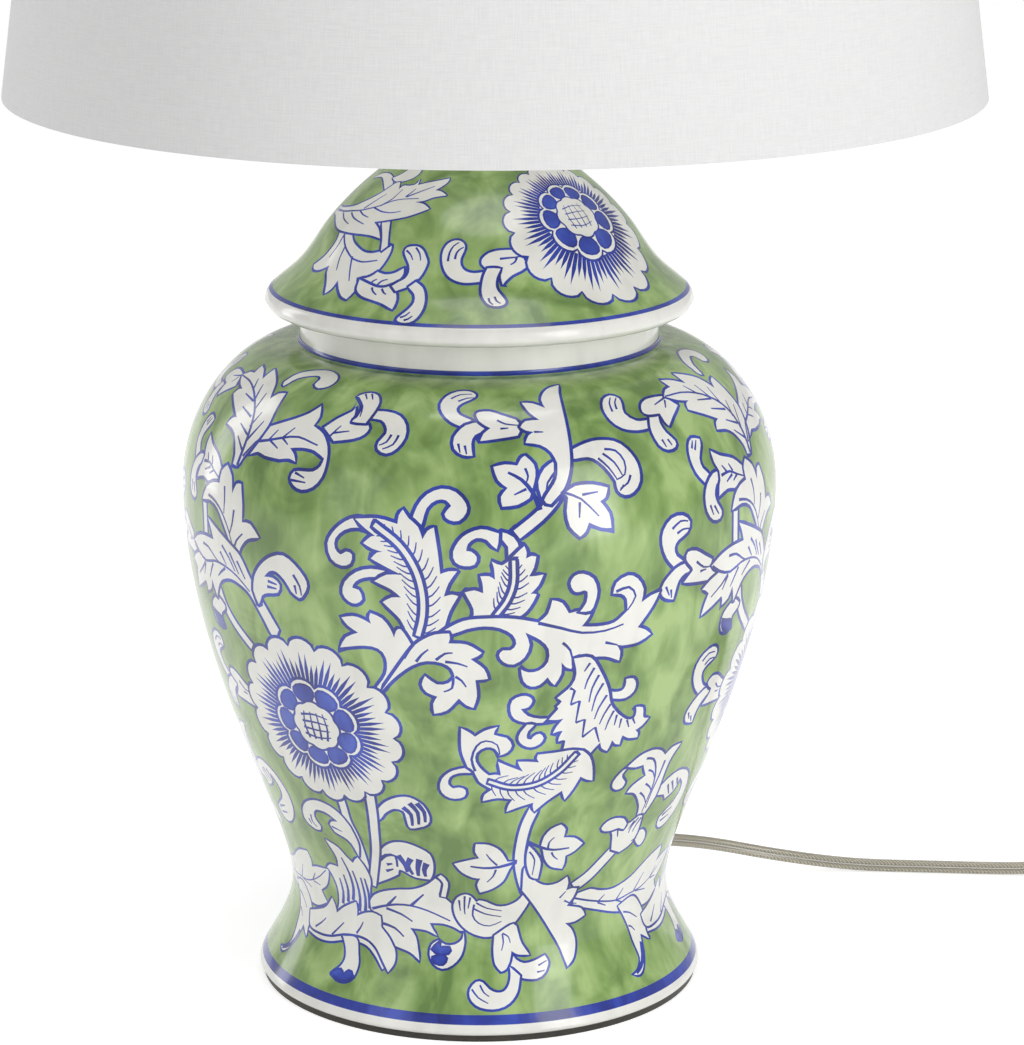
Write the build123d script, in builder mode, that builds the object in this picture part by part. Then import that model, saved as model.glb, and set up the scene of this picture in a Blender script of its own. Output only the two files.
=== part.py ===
from build123d import *
import math
import os

# Ginger jar table lamp, in millimetres. +Z is up, the origin is on the lamp's axis where its
# pad meets the table, and -Y is the side that faces the viewer. Each sub-part is one STEP file.
os.makedirs("parts", exist_ok=True)

# --- Pad and jar ---------------------------------------------------------------------------
pad_thickness = 2.4
pad_inset = 1.5  # the pad's edge lies this far inside the foot's
foot_radius = 89.9
foot_round = 2.2
foot_ring_width = 7.0
foot_lean_in = 1.6  # the flared foot's curve leaves its edge along this slope
foot_lean_up = 5.2
waist_radius = 76.1
waist_height = 37.1  # heights on the jar are above the underside of its foot
waist_pull_down = 15.0  # how far each curve runs straight before it bends away
waist_pull_up = 27.5
belly_radius = 118.0
belly_height = 202.4
belly_pull_down = 72.5
belly_pull_up = 28.0
shoulder_height = 259.2
shoulder_pull = 25.4
neck_radius = 70.7
neck_height = 15.4
neck_fillet = 2.0
neck_round = 1.4
jar_wall = 6.0
jar_floor_height = 31.0
jar_floor_thickness = 5.5

# --- Lid -----------------------------------------------------------------------------------
lid_wall = 5.0
lid_rim_radius = 84.3
lid_rim_drop = 2.3  # the rim hangs this far below the face that rests on the neck
lid_rim_mid_height = 1.6
lid_rim_inner_radius = 80.6
lid_seat_radius = 79.5
lid_bell_radius = 82.6  # where the rim ends and the bell-shaped dome begins
lid_bell_height = 5.6
lid_bell_slope = 40.0  # degrees above level
lid_bell_pull = 13.8
lid_turn_radius = 62.6  # where the bell's hollow curve turns into its round one
lid_turn_height = 27.4
lid_turn_lean = 32.7  # degrees off upright
lid_turn_pull_down = 15.6
lid_turn_pull_up = 13.7
lid_top_radius = 14.0
lid_top_height = 63.0
lid_top_pull = 16.7
lid_flange_gap = 1.2
lid_flange_depth = 8.0

# --- Threaded rod and its clamp ------------------------------------------------------------
rod_radius = 5.1
rod_bore_radius = 3.45
rod_tail = 4.0  # rod below the lower nut
rod_hole_clearance = 0.5
thread_clearance = 0.1
clamp_washer_radius = 11.5
clamp_washer_thickness = 1.5
rubber_washer_thickness = 1.5
nut_across_flats = 16.0
nut_height = 5.0

# --- Vase cap and neck ---------------------------------------------------------------------
cap_radius = 22.0
cap_top_radius = 9.5
cap_height = 15.0
cap_rim_drop = 1.0  # its rim reaches this far below the lid's flat top
cap_rim_height = 2.0
cap_wall = 1.2
neck_tube_radius = 7.5
neck_tube_height = 22.5
check_ring_radius = 11.0
check_ring_height = 2.5
lock_washer_radius = 8.0
lock_washer_thickness = 1.0

# --- Saddle, bow and shade carrier ---------------------------------------------------------
saddle_thickness = 1.5
saddle_width = 12.0
saddle_flat_half = 16.0
saddle_shelf_rise = 8.0
saddle_shelf_start = 25.0
post_spacing = 58.0
post_thickness = 2.2
post_width = 6.5
post_height = 15.0
bow_tab_gap = 0.15
bow_tab_thickness = 2.0
bow_tab_height = 18.0
bow_wire_radius = 2.0
bow_wire_overlap = 2.5  # the round wire runs this far down into its flattened tab
bow_straight = 30.0
bow_half_width = 55.0
bow_shoulder_half = 49.0
bow_widest_height = 96.5
bow_foot_bend = 40.0
bow_side_bend = 60.0
bow_top_bend = 38.0
harp_height = 216.0  # from the saddle's flat to the seat under the shade's washer
harp_lean = 6.0  # the bow's top stands this far to the right of the lamp's axis
sleeve_radius = 5.4
sleeve_bore_radius = 4.3
sleeve_height = 16.0
seat_radius = 8.0
seat_thickness = 2.0
stud_radius = 3.1
stud_length = 13.5
stud_clearance = 0.08
spider_washer_radius = 12.0
spider_washer_thickness = 1.5
spider_bore_clearance = 0.4

# --- Shade ---------------------------------------------------------------------------------
shade_bottom_radius = 190.5
shade_top_radius = 157.0
shade_height = 250.0
shade_recess = 12.7  # from the seat up to the shade's top edge
cloth_thickness = 0.6
liner_thickness = 0.5
hem_thickness = 0.5
hem_depth = 11.0
shade_wire_radius = 1.6
spoke_count = 3
spoke_start_angle = 90.0
spoke_level_share = 0.82  # share of a spoke's reach that is level before it climbs to the ring
spoke_gap = 0.3

# --- Finial --------------------------------------------------------------------------------
finial_base_radius = 6.0
finial_base_height = 7.0
finial_waist_radius = 4.4
finial_ball_radius = 10.5
finial_foot_radius = 5.0
finial_bore_depth = 6.0

# --- Socket --------------------------------------------------------------------------------
hub_radius = 8.0
hub_height = 9.0
socket_cap_wall = 0.8
socket_cap_flare = 6.2
socket_cap_height = 25.5
socket_shell_radius = 17.0
socket_shell_wall = 0.5
socket_shell_start = 17.5  # heights on the socket are above the saddle's flat
socket_shell_height = 50.0
socket_gap = 0.1
liner_card_thickness = 0.6
liner_card_inset = 1.0
socket_body_radius = 14.2
socket_body_start = 19.5
socket_body_height = 23.0
socket_flange_height = 3.0
screw_shell_bore_radius = 13.35
screw_shell_wall = 0.5
screw_shell_height = 23.5
contact_radius = 3.5
contact_height = 3.4
terminal_head_radius = 3.0
terminal_head_height = 1.2
terminal_shank_radius = 1.6
terminal_shank_length = 4.0
terminal_height = 9.5
set_screw_radius = 1.5
set_screw_length = 3.0
fit_gap = 0.05

# --- Switch --------------------------------------------------------------------------------
switch_height = 31.5
shaft_radius = 1.9
shaft_clearance = 0.07
shaft_depth = 8.0  # how far the shaft reaches into the socket's body
shaft_length = 20.0
knob_radius = 5.2
knob_length = 13.0
knob_bore_depth = 7.0
knob_flute_radius = 0.9
knob_flute_count = 12
switch_window_radius = 4.2

# --- Bulb ----------------------------------------------------------------------------------
bulb_button_radius = 4.8
bulb_button_height = 1.6
bulb_insulator_radius = 11.5
bulb_insulator_height = 3.9
bulb_cap_radius = 13.0
bulb_cap_height = 21.0
bulb_thread_pitch = 3.63
bulb_thread_depth = 0.6
bulb_thread_count = 4
bulb_collar_radius = 14.5
bulb_housing_height = 35.5
bulb_sphere_radius = 30.0
bulb_length = 108.0
bulb_housing_wall = 1.5
bulb_dome_wall = 1.2
led_plate_thickness = 1.6
led_plate_gap = 0.3

# --- Cord ----------------------------------------------------------------------------------
cord_width = 5.6
cord_exit_angle = 50.0  # degrees from +X towards +Y, behind the foot
cord_exit_height = 20.8  # above the underside of the foot
bushing_radius = 4.9
bushing_bore_clearance = 0.2
bushing_length = 16.0
bushing_reach = 85.0  # its outer face, from the lamp's axis
inner_bend_radius = 14.0
tie_thickness = 0.8
tie_width = 6.0
tie_gap = 0.4
coil_inner_radius = 22.0
coil_turn_gap = 0.9
coil_layer_gap = 0.8
coil_half_turns = 7
coil_climb_inset = 1.5  # the cord turns this much tighter where it climbs to the top layer
coil_entry_angle = 135.0
coil_tail = 24.0
plug_relief_length = 22.0
plug_relief_start_radius = 3.4
plug_relief_end_radius = 5.2
plug_width = 25.0
plug_shoulder_length = 9.0
plug_length = 28.0
plug_corner = 4.0
blade_length = 17.0
blade_width = 6.35
blade_thickness = 1.5
blade_spacing = 12.7
blade_hole_radius = 1.6
blade_tip_round = 1.2

# --- Levels, stacked from the table up -----------------------------------------------------
foot_z = pad_thickness
waist_z = foot_z + waist_height
belly_z = foot_z + belly_height
shoulder_z = foot_z + shoulder_height
lid_seat_z = shoulder_z + neck_height
lid_top_z = lid_seat_z + lid_top_height
floor_under_z = foot_z + jar_floor_height
floor_top_z = floor_under_z + jar_floor_thickness
cap_rim_z = lid_top_z - cap_rim_drop
cap_top_z = cap_rim_z + cap_height
check_ring_z = cap_top_z + neck_tube_height
lock_washer_z = check_ring_z + check_ring_height
saddle_z = lock_washer_z + lock_washer_thickness
saddle_top_z = saddle_z + saddle_thickness
shelf_z = saddle_top_z + saddle_shelf_rise
seat_z = saddle_top_z + harp_height
shade_top_z = seat_z + shade_recess
shade_bottom_z = shade_top_z - shade_height
spider_z = seat_z + spider_washer_thickness
rod_hole_radius = rod_radius + rod_hole_clearance

viewer_plane = Plane.XZ  # sketches here have X to the right and Y up
shade_plane = Plane(origin=(harp_lean, 0, 0), x_dir=(1, 0, 0), z_dir=(0, -1, 0))
shade_axis = Axis((harp_lean, 0, 0), (0, 0, 1))


def save(part, name):
    """Label one finished sub-part and write it to its own STEP file."""
    part.label = name
    export_step(part, f"parts/{name}.step")


def polar(radius, angle, height):
    """Point at a radius and an angle in degrees round the lamp's axis."""
    turn = math.radians(angle)
    return (radius * math.cos(turn), radius * math.sin(turn), height)


def rings(levels, outer_radius, inner_radius, height):
    """Flat rings or plain tubes round the lamp's axis, one at each level."""
    with BuildPart() as stack:
        for level in levels:
            with BuildSketch(Plane.XY.offset(level)):
                Circle(outer_radius)
                Circle(inner_radius, mode=Mode.SUBTRACT)
            extrude(amount=height)
    return stack.part


# --- Foot pad and jar ----------------------------------------------------------------------
with BuildPart() as foot_pad:
    with BuildSketch():
        Circle(foot_radius - pad_inset)
    extrude(amount=pad_thickness)
save(foot_pad.part, "foot_pad")

waist_inner_radius = waist_radius - jar_wall
belly_inner_radius = belly_radius - jar_wall
neck_inner_radius = neck_radius - jar_wall
cord_exit_z = foot_z + cord_exit_height
bushing_plane = Plane(
    origin=polar(bushing_reach, cord_exit_angle, cord_exit_z),
    z_dir=polar(1, cord_exit_angle, 0),
)

with BuildPart() as jar_body:
    with BuildSketch(viewer_plane) as jar_section:
        with BuildLine():
            RadiusArc(
                (foot_radius - foot_round, foot_z),
                (foot_radius, foot_z + foot_round),
                -foot_round,
            )
            Bezier(
                (foot_radius, foot_z + foot_round),
                (foot_radius - foot_lean_in, foot_z + foot_round + foot_lean_up),
                (waist_radius, waist_z - waist_pull_down),
                (waist_radius, waist_z),
            )
            Bezier(
                (waist_radius, waist_z),
                (waist_radius, waist_z + waist_pull_up),
                (belly_radius, belly_z - belly_pull_down),
                (belly_radius, belly_z),
            )
            Bezier(
                (belly_radius, belly_z),
                (belly_radius, belly_z + belly_pull_up),
                (neck_radius + neck_fillet + shoulder_pull, shoulder_z),
                (neck_radius + neck_fillet, shoulder_z),
            )
            RadiusArc(
                (neck_radius + neck_fillet, shoulder_z),
                (neck_radius, shoulder_z + neck_fillet),
                neck_fillet,
            )
            Polyline(
                (neck_radius, shoulder_z + neck_fillet),
                (neck_radius, lid_seat_z),
                (neck_inner_radius, lid_seat_z),
                (neck_inner_radius, shoulder_z - jar_wall),
            )
            Bezier(
                (neck_inner_radius, shoulder_z - jar_wall),
                (neck_inner_radius + shoulder_pull, shoulder_z - jar_wall),
                (belly_inner_radius, belly_z + belly_pull_up),
                (belly_inner_radius, belly_z),
            )
            Bezier(
                (belly_inner_radius, belly_z),
                (belly_inner_radius, belly_z - belly_pull_down),
                (waist_inner_radius, waist_z + waist_pull_up),
                (waist_inner_radius, waist_z),
            )
            Polyline(
                (waist_inner_radius, waist_z),
                (waist_inner_radius, floor_top_z),
                (rod_hole_radius, floor_top_z),
                (rod_hole_radius, floor_under_z),
                (waist_inner_radius, floor_under_z),
                (foot_radius - foot_ring_width, foot_z),
                (foot_radius - foot_round, foot_z),
            )
        make_face()
        fillet(jar_section.vertices().group_by(Axis.Y)[-1], neck_round)
    revolve(axis=Axis.Z)
    with BuildSketch(bushing_plane.offset(foot_ring_width)):
        Circle(bushing_radius + fit_gap)
    extrude(amount=-(waist_radius / 2), mode=Mode.SUBTRACT)
save(jar_body.part, "jar_body")

# --- Lid -----------------------------------------------------------------------------------
bell_slope = math.radians(lid_bell_slope)
turn_lean = math.radians(lid_turn_lean)
lean_in = math.sin(turn_lean)
lean_up = math.cos(turn_lean)
bell_z = lid_seat_z + lid_bell_height
turn_z = lid_seat_z + lid_turn_height
inner_turn_radius = lid_turn_radius - lean_up * lid_wall
inner_turn_z = turn_z - lean_in * lid_wall
lid_under_z = lid_top_z - lid_wall
flange_radius = neck_inner_radius - lid_flange_gap
flange_z = lid_seat_z - lid_flange_depth

with BuildPart() as jar_lid:
    with BuildSketch(viewer_plane):
        with BuildLine():
            Polyline(
                (flange_radius, flange_z),
                (flange_radius, lid_seat_z),
                (lid_seat_radius, lid_seat_z),
                (lid_rim_inner_radius, lid_seat_z - lid_rim_drop),
            )
            ThreePointArc(
                (lid_rim_inner_radius, lid_seat_z - lid_rim_drop),
                (lid_rim_radius, lid_seat_z + lid_rim_mid_height),
                (lid_bell_radius, bell_z),
            )
            Bezier(
                (lid_bell_radius, bell_z),
                (
                    lid_bell_radius - lid_bell_pull * math.cos(bell_slope),
                    bell_z + lid_bell_pull * math.sin(bell_slope),
                ),
                (
                    lid_turn_radius + lid_turn_pull_down * lean_in,
                    turn_z - lid_turn_pull_down * lean_up,
                ),
                (lid_turn_radius, turn_z),
            )
            Bezier(
                (lid_turn_radius, turn_z),
                (
                    lid_turn_radius - lid_turn_pull_up * lean_in,
                    turn_z + lid_turn_pull_up * lean_up,
                ),
                (lid_top_radius + lid_top_pull, lid_top_z),
                (lid_top_radius, lid_top_z),
            )
            Polyline(
                (lid_top_radius, lid_top_z),
                (rod_hole_radius, lid_top_z),
                (rod_hole_radius, lid_under_z),
                (lid_top_radius, lid_under_z),
            )
            Bezier(
                (lid_top_radius, lid_under_z),
                (lid_top_radius + lid_top_pull, lid_under_z),
                (
                    inner_turn_radius - lid_turn_pull_up * lean_in,
                    inner_turn_z + lid_turn_pull_up * lean_up,
                ),
                (inner_turn_radius, inner_turn_z),
            )
            Polyline(
                (inner_turn_radius, inner_turn_z),
                (inner_turn_radius, flange_z),
                (flange_radius, flange_z),
            )
        make_face()
    revolve(axis=Axis.Z)
save(jar_lid.part, "jar_lid")

# --- Clamp: rod, washers and nuts ----------------------------------------------------------
upper_rubber_z = lid_top_z
upper_steel_z = upper_rubber_z + rubber_washer_thickness
upper_nut_z = upper_steel_z + clamp_washer_thickness
lower_rubber_z = floor_under_z - rubber_washer_thickness
lower_steel_z = lower_rubber_z - clamp_washer_thickness
lower_nut_z = lower_steel_z - nut_height
rod_bottom_z = lower_nut_z - rod_tail
hub_floor_z = saddle_top_z + hub_height
threaded_bore_radius = rod_radius + thread_clearance

save(
    rings([rod_bottom_z], rod_radius, rod_bore_radius, hub_floor_z - rod_bottom_z),
    "threaded_rod",
)
save(
    rings(
        [lower_rubber_z, upper_rubber_z],
        clamp_washer_radius,
        rod_hole_radius,
        rubber_washer_thickness,
    ),
    "rubber_washers",
)
save(
    rings(
        [lower_steel_z, upper_steel_z],
        clamp_washer_radius,
        rod_hole_radius,
        clamp_washer_thickness,
    ),
    "clamp_washers",
)

with BuildPart() as rod_nuts:
    for nut_z in (lower_nut_z, upper_nut_z):
        with BuildSketch(Plane.XY.offset(nut_z)):
            RegularPolygon(nut_across_flats / 2, 6, major_radius=False)
            Circle(threaded_bore_radius, mode=Mode.SUBTRACT)
        extrude(amount=nut_height)
save(rod_nuts.part, "rod_nuts")

# --- Vase cap, neck tube, check ring and lock washer ---------------------------------------
with BuildPart() as vase_cap:
    with BuildSketch(viewer_plane):
        with BuildLine():
            Polyline(
                (0, cap_top_z),
                (0, cap_rim_z),
                (cap_radius, cap_rim_z),
                (cap_radius, cap_rim_z + cap_rim_height),
            )
            Bezier(
                (cap_radius, cap_rim_z + cap_rim_height),
                (cap_radius, cap_rim_z + cap_height / 2),
                (cap_top_radius, cap_rim_z + cap_height / 2),
                (cap_top_radius, cap_top_z),
            )
            Line((cap_top_radius, cap_top_z), (0, cap_top_z))
        make_face()
    revolve(axis=Axis.Z)
    offset(amount=-cap_wall, openings=vase_cap.faces().sort_by(Axis.Z)[0])
    with BuildSketch(Plane.XY.offset(cap_top_z)):
        Circle(rod_hole_radius)
    extrude(amount=-cap_height, mode=Mode.SUBTRACT)
save(vase_cap.part, "vase_cap")

save(rings([cap_top_z], neck_tube_radius, rod_hole_radius, neck_tube_height), "neck_tube")

with BuildPart() as check_ring:
    with BuildSketch(Plane.XY.offset(check_ring_z)):
        Circle(check_ring_radius)
        Circle(rod_hole_radius, mode=Mode.SUBTRACT)
    extrude(amount=check_ring_height)
    fillet(
        check_ring.edges().filter_by(GeomType.CIRCLE).sort_by(SortBy.RADIUS)[-2:],
        check_ring_height / 3,
    )
save(check_ring.part, "check_ring")

save(
    rings([lock_washer_z], lock_washer_radius, threaded_bore_radius, lock_washer_thickness),
    "lock_washer",
)

# --- Saddle --------------------------------------------------------------------------------
sleeve_x = (post_spacing + bow_tab_gap + bow_tab_thickness) / 2
shelf_end = sleeve_x + sleeve_radius
saddle_top_line = [
    (-shelf_end, shelf_z),
    (-saddle_shelf_start, shelf_z),
    (-saddle_flat_half, saddle_top_z),
    (saddle_flat_half, saddle_top_z),
    (saddle_shelf_start, shelf_z),
    (shelf_end, shelf_z),
]
saddle_under_line = [(x, z - saddle_thickness) for x, z in reversed(saddle_top_line)]

with BuildPart() as harp_saddle:
    with BuildSketch(viewer_plane):
        with BuildLine():
            Polyline(*saddle_top_line, *saddle_under_line, close=True)
        make_face()
    extrude(amount=saddle_width / 2, both=True)
    with BuildSketch(Plane.XY.offset(shelf_z)):
        with Locations((-post_spacing / 2, 0), (post_spacing / 2, 0)):
            Rectangle(post_thickness, post_width)
    extrude(amount=post_height)
    with BuildSketch(Plane.XY.offset(saddle_top_z)):
        Circle(threaded_bore_radius)
    extrude(amount=-saddle_thickness, mode=Mode.SUBTRACT)
save(harp_saddle.part, "harp_saddle")

# --- Bow (harp) and what it carries --------------------------------------------------------
tab_x = post_spacing / 2 + post_thickness / 2 + bow_tab_gap + bow_tab_thickness / 2
wire_start_z = shelf_z + bow_tab_height - bow_wire_overlap
wire_top_z = seat_z - seat_thickness - bow_wire_radius


def bow_point(side, half_width, height):
    """Point on the bow's wire; the bow leans more the higher the point is."""
    share = (height - wire_start_z) / (wire_top_z - wire_start_z)
    return (side * half_width + harp_lean * share, 0, height)


right_wire = [
    bow_point(1, tab_x, wire_start_z),
    (tab_x, 0, wire_start_z + bow_straight),
    bow_point(1, bow_half_width, shelf_z + bow_widest_height),
    bow_point(1, bow_shoulder_half, wire_top_z),
]
left_wire = [
    bow_point(-1, tab_x, wire_start_z),
    (-tab_x, 0, wire_start_z + bow_straight),
    bow_point(-1, bow_half_width, shelf_z + bow_widest_height),
    bow_point(-1, bow_shoulder_half, wire_top_z),
]
bow_bends = [bow_foot_bend, bow_side_bend, bow_top_bend]

with BuildPart() as harp_bow:
    with BuildLine() as wire_path:
        FilletPolyline(*right_wire, *reversed(left_wire), radius=bow_bends + bow_bends[::-1])
    with BuildSketch(Plane(origin=wire_path.line @ 0, z_dir=wire_path.line % 0)):
        Circle(bow_wire_radius)
    sweep()
    with BuildSketch(Plane.XY.offset(shelf_z)):
        with Locations((-tab_x, 0), (tab_x, 0)):
            Rectangle(bow_tab_thickness, post_width)
    extrude(amount=bow_tab_height)
save(harp_bow.part, "harp_bow")

for side, side_name in ((-1, "left"), (1, "right")):
    with BuildPart() as harp_sleeve:
        with BuildSketch(Plane.XY.offset(shelf_z)):
            with Locations((side * sleeve_x, 0)):
                Circle(sleeve_radius)
                Circle(sleeve_bore_radius, mode=Mode.SUBTRACT)
        extrude(amount=sleeve_height)
    save(harp_sleeve.part, f"harp_sleeve_{side_name}")

# The seat is a disc brazed to the flat top of the wire, with the threaded stud on it.
with BuildPart() as harp_stud:
    with BuildSketch(shade_plane):
        with BuildLine():
            Polyline(
                (0, seat_z - seat_thickness),
                (seat_radius, seat_z - seat_thickness),
                (seat_radius, seat_z),
                (stud_radius, seat_z),
                (stud_radius, seat_z + stud_length),
                (0, seat_z + stud_length),
                close=True,
            )
        make_face()
    revolve(axis=shade_axis)
    chamfer(harp_stud.edges().sort_by(Axis.Z)[-1], stud_radius / 5)
save(harp_stud.part, "harp_stud")

spider_bore_radius = stud_radius + spider_bore_clearance
with BuildPart() as spider_washer:
    with BuildSketch(Plane.XY.offset(seat_z)):
        with Locations((harp_lean, 0)):
            Circle(spider_washer_radius)
            Circle(spider_bore_radius, mode=Mode.SUBTRACT)
    extrude(amount=spider_washer_thickness)
save(spider_washer.part, "spider_washer")

# --- Shade ---------------------------------------------------------------------------------
shade_slope = (shade_bottom_radius - shade_top_radius) / shade_height
skin_thickness = cloth_thickness + liner_thickness
wire_inset = skin_thickness + hem_thickness + shade_wire_radius


def shade_radius(height):
    """Outer radius of the shade's cloth at a height."""
    return shade_top_radius + (shade_top_z - height) * shade_slope


def cone_skin(outer_inset, inner_inset, low, high):
    """Thin cone between two depths under the shade's outer face."""
    with BuildPart() as skin:
        with BuildSketch(shade_plane):
            with BuildLine():
                Polyline(
                    (shade_radius(low) - outer_inset, low),
                    (shade_radius(high) - outer_inset, high),
                    (shade_radius(high) - inner_inset, high),
                    (shade_radius(low) - inner_inset, low),
                    close=True,
                )
            make_face()
        revolve(axis=shade_axis)
    return skin.part


def wire_level(edge, inward):
    """Height of a ring's wire, inside its hem; inward is +1 at the lower edge, -1 at the top."""
    return edge + inward * (hem_thickness + shade_wire_radius)


save(cone_skin(0, cloth_thickness, shade_bottom_z, shade_top_z), "shade_fabric")
save(
    cone_skin(cloth_thickness, skin_thickness, shade_bottom_z, shade_top_z),
    "shade_liner",
)

# Each hem is a strip that wraps its wire ring and lies against the liner.
for edge_z, inward, edge_name in (
    (shade_bottom_z, 1, "bottom"),
    (shade_top_z, -1, "top"),
):
    ring_z = wire_level(edge_z, inward)
    wire_centre_radius = shade_radius(ring_z) - wire_inset
    hem_end_z = ring_z + inward * hem_depth
    low_z = min(ring_z, hem_end_z)
    high_z = max(ring_z, hem_end_z)
    hem_inset = skin_thickness + hem_thickness

    with BuildPart() as wire_ring:
        with BuildSketch(shade_plane):
            with Locations((wire_centre_radius, ring_z)):
                Circle(shade_wire_radius)
        revolve(axis=shade_axis)
    save(wire_ring.part, f"shade_{edge_name}_ring")

    with BuildPart() as hem:
        with BuildSketch(shade_plane):
            with Locations((wire_centre_radius, ring_z)):
                Circle(shade_wire_radius + hem_thickness)
            with BuildLine():
                Polyline(
                    (shade_radius(low_z) - skin_thickness, low_z),
                    (shade_radius(high_z) - skin_thickness, high_z),
                    (shade_radius(high_z) - hem_inset, high_z),
                    (shade_radius(low_z) - hem_inset, low_z),
                    close=True,
                )
            make_face()
            with Locations((wire_centre_radius, ring_z)):
                Circle(shade_wire_radius, mode=Mode.SUBTRACT)
            # The strip is trimmed where it would reach into the liner.
            with BuildLine():
                Polyline(
                    (shade_radius(shade_bottom_z) - skin_thickness, shade_bottom_z),
                    (shade_radius(shade_top_z) - skin_thickness, shade_top_z),
                    (shade_radius(shade_top_z) + skin_thickness, shade_top_z),
                    (shade_radius(shade_bottom_z) + skin_thickness, shade_bottom_z),
                    close=True,
                )
            make_face(mode=Mode.SUBTRACT)
        revolve(axis=shade_axis)
    save(hem.part, f"shade_{edge_name}_hem")

top_ring_z = wire_level(shade_top_z, -1)
top_ring_radius = shade_radius(top_ring_z) - wire_inset
spoke_z = seat_z + spider_washer_thickness / 2
spoke_start = spider_washer_radius + spoke_gap
spoke_end = top_ring_radius - shade_wire_radius - hem_thickness - spoke_gap

with BuildPart() as spider_spokes:
    for spoke_index in range(spoke_count):
        spoke_turn = spoke_start_angle + spoke_index * 360 / spoke_count
        spoke_plane = Plane(origin=(harp_lean, 0, 0), x_dir=polar(1, spoke_turn, 0), z_dir=(0, 0, 1))
        with BuildLine(spoke_plane) as spoke_path:
            FilletPolyline(
                (spoke_start, 0, spoke_z),
                (spoke_end * spoke_level_share, 0, spoke_z),
                (spoke_end, 0, top_ring_z),
                radius=bow_foot_bend,
            )
        with BuildSketch(Plane(origin=spoke_path.line @ 0, z_dir=spoke_path.line % 0)):
            Circle(shade_wire_radius)
        sweep(path=spoke_path.wires()[0])
save(spider_spokes.part, "spider_spokes")

# --- Finial --------------------------------------------------------------------------------
finial_bore_radius = stud_radius + stud_clearance
finial_base_top_z = spider_z + finial_base_height
ball_z = finial_base_top_z + math.sqrt(finial_ball_radius**2 - finial_foot_radius**2)

with BuildPart() as finial_base:
    with BuildSketch(shade_plane):
        with BuildLine():
            Polyline(
                (finial_bore_radius, finial_base_top_z),
                (finial_bore_radius, spider_z),
                (finial_base_radius, spider_z),
                (finial_base_radius, spider_z + finial_base_height / 4),
            )
            Bezier(
                (finial_base_radius, spider_z + finial_base_height / 4),
                (finial_waist_radius, spider_z + finial_base_height / 2),
                (finial_waist_radius, spider_z + finial_base_height * 2 / 3),
                (finial_foot_radius, finial_base_top_z),
            )
            Line(
                (finial_foot_radius, finial_base_top_z),
                (finial_bore_radius, finial_base_top_z),
            )
        make_face()
    revolve(axis=shade_axis)
save(finial_base.part, "finial_base")

with BuildPart() as finial_ball:
    with BuildSketch(shade_plane):
        with BuildLine():
            ThreePointArc(
                (finial_foot_radius, finial_base_top_z),
                (finial_ball_radius, ball_z),
                (0, ball_z + finial_ball_radius),
            )
            Polyline(
                (0, ball_z + finial_ball_radius),
                (0, finial_base_top_z + finial_bore_depth),
                (finial_bore_radius, finial_base_top_z + finial_bore_depth),
                (finial_bore_radius, finial_base_top_z),
                (finial_foot_radius, finial_base_top_z),
            )
        make_face()
    revolve(axis=shade_axis)
save(finial_ball.part, "finial_ball")

# --- Socket --------------------------------------------------------------------------------
cup_bore_radius = socket_shell_radius + socket_gap
cup_radius = cup_bore_radius + socket_cap_wall
cup_top_z = saddle_top_z + socket_cap_height
shell_z = saddle_top_z + socket_shell_start
shell_top_z = shell_z + socket_shell_height
body_z = saddle_top_z + socket_body_start
body_top_z = body_z + socket_body_height
liner_radius = socket_shell_radius - socket_shell_wall - socket_gap
liner_bore_radius = liner_radius - liner_card_thickness
switch_z = saddle_top_z + switch_height
switch_plane = Plane(origin=(0, 0, switch_z), z_dir=(0, -1, 0))
set_screw_plane = Plane(origin=(0, hub_radius, saddle_top_z + hub_height / 2), z_dir=(0, 1, 0))

with BuildPart() as socket_cap:
    with BuildSketch(viewer_plane):
        with BuildLine():
            Polyline(
                (threaded_bore_radius, saddle_top_z),
                (hub_radius, saddle_top_z),
                (hub_radius, hub_floor_z - socket_cap_wall),
                (cup_radius, hub_floor_z + socket_cap_flare),
                (cup_radius, cup_top_z),
                (cup_bore_radius, cup_top_z),
                (cup_bore_radius, hub_floor_z + socket_cap_flare),
                (hub_radius - socket_cap_wall, hub_floor_z),
                (threaded_bore_radius, hub_floor_z),
                close=True,
            )
        make_face()
    revolve(axis=Axis.Z)
    with BuildSketch(set_screw_plane):
        Circle(set_screw_radius + fit_gap)
    extrude(amount=-hub_radius, mode=Mode.SUBTRACT)
save(socket_cap.part, "socket_cap")

with BuildPart() as set_screw:
    with BuildSketch(set_screw_plane):
        Circle(set_screw_radius)
    extrude(amount=-(set_screw_length - thread_clearance))
    with BuildSketch(set_screw_plane):
        Rectangle(set_screw_radius * 2, set_screw_radius / 3)
    extrude(amount=-set_screw_length / 4, mode=Mode.SUBTRACT)
save(set_screw.part, "set_screw")


def windowed_tube(level, outer_radius, wall, height):
    """Thin tube round the lamp's axis with the switch's round window in its front."""
    with BuildPart() as tube:
        with BuildSketch(Plane.XY.offset(level)):
            Circle(outer_radius)
            Circle(outer_radius - wall, mode=Mode.SUBTRACT)
        extrude(amount=height)
        with BuildSketch(switch_plane):
            Circle(switch_window_radius)
        extrude(amount=outer_radius + wall, mode=Mode.SUBTRACT)
    return tube.part


save(
    windowed_tube(shell_z, socket_shell_radius, socket_shell_wall, socket_shell_height),
    "socket_shell",
)
save(
    windowed_tube(
        shell_z + liner_card_inset,
        liner_radius,
        liner_card_thickness,
        socket_shell_height - 2 * liner_card_inset,
    ),
    "socket_liner",
)

terminal_plane_right = Plane(origin=(socket_body_radius, 0, body_z + terminal_height), z_dir=(1, 0, 0))
terminal_plane_left = Plane(origin=(-socket_body_radius, 0, body_z + terminal_height), z_dir=(-1, 0, 0))

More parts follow.
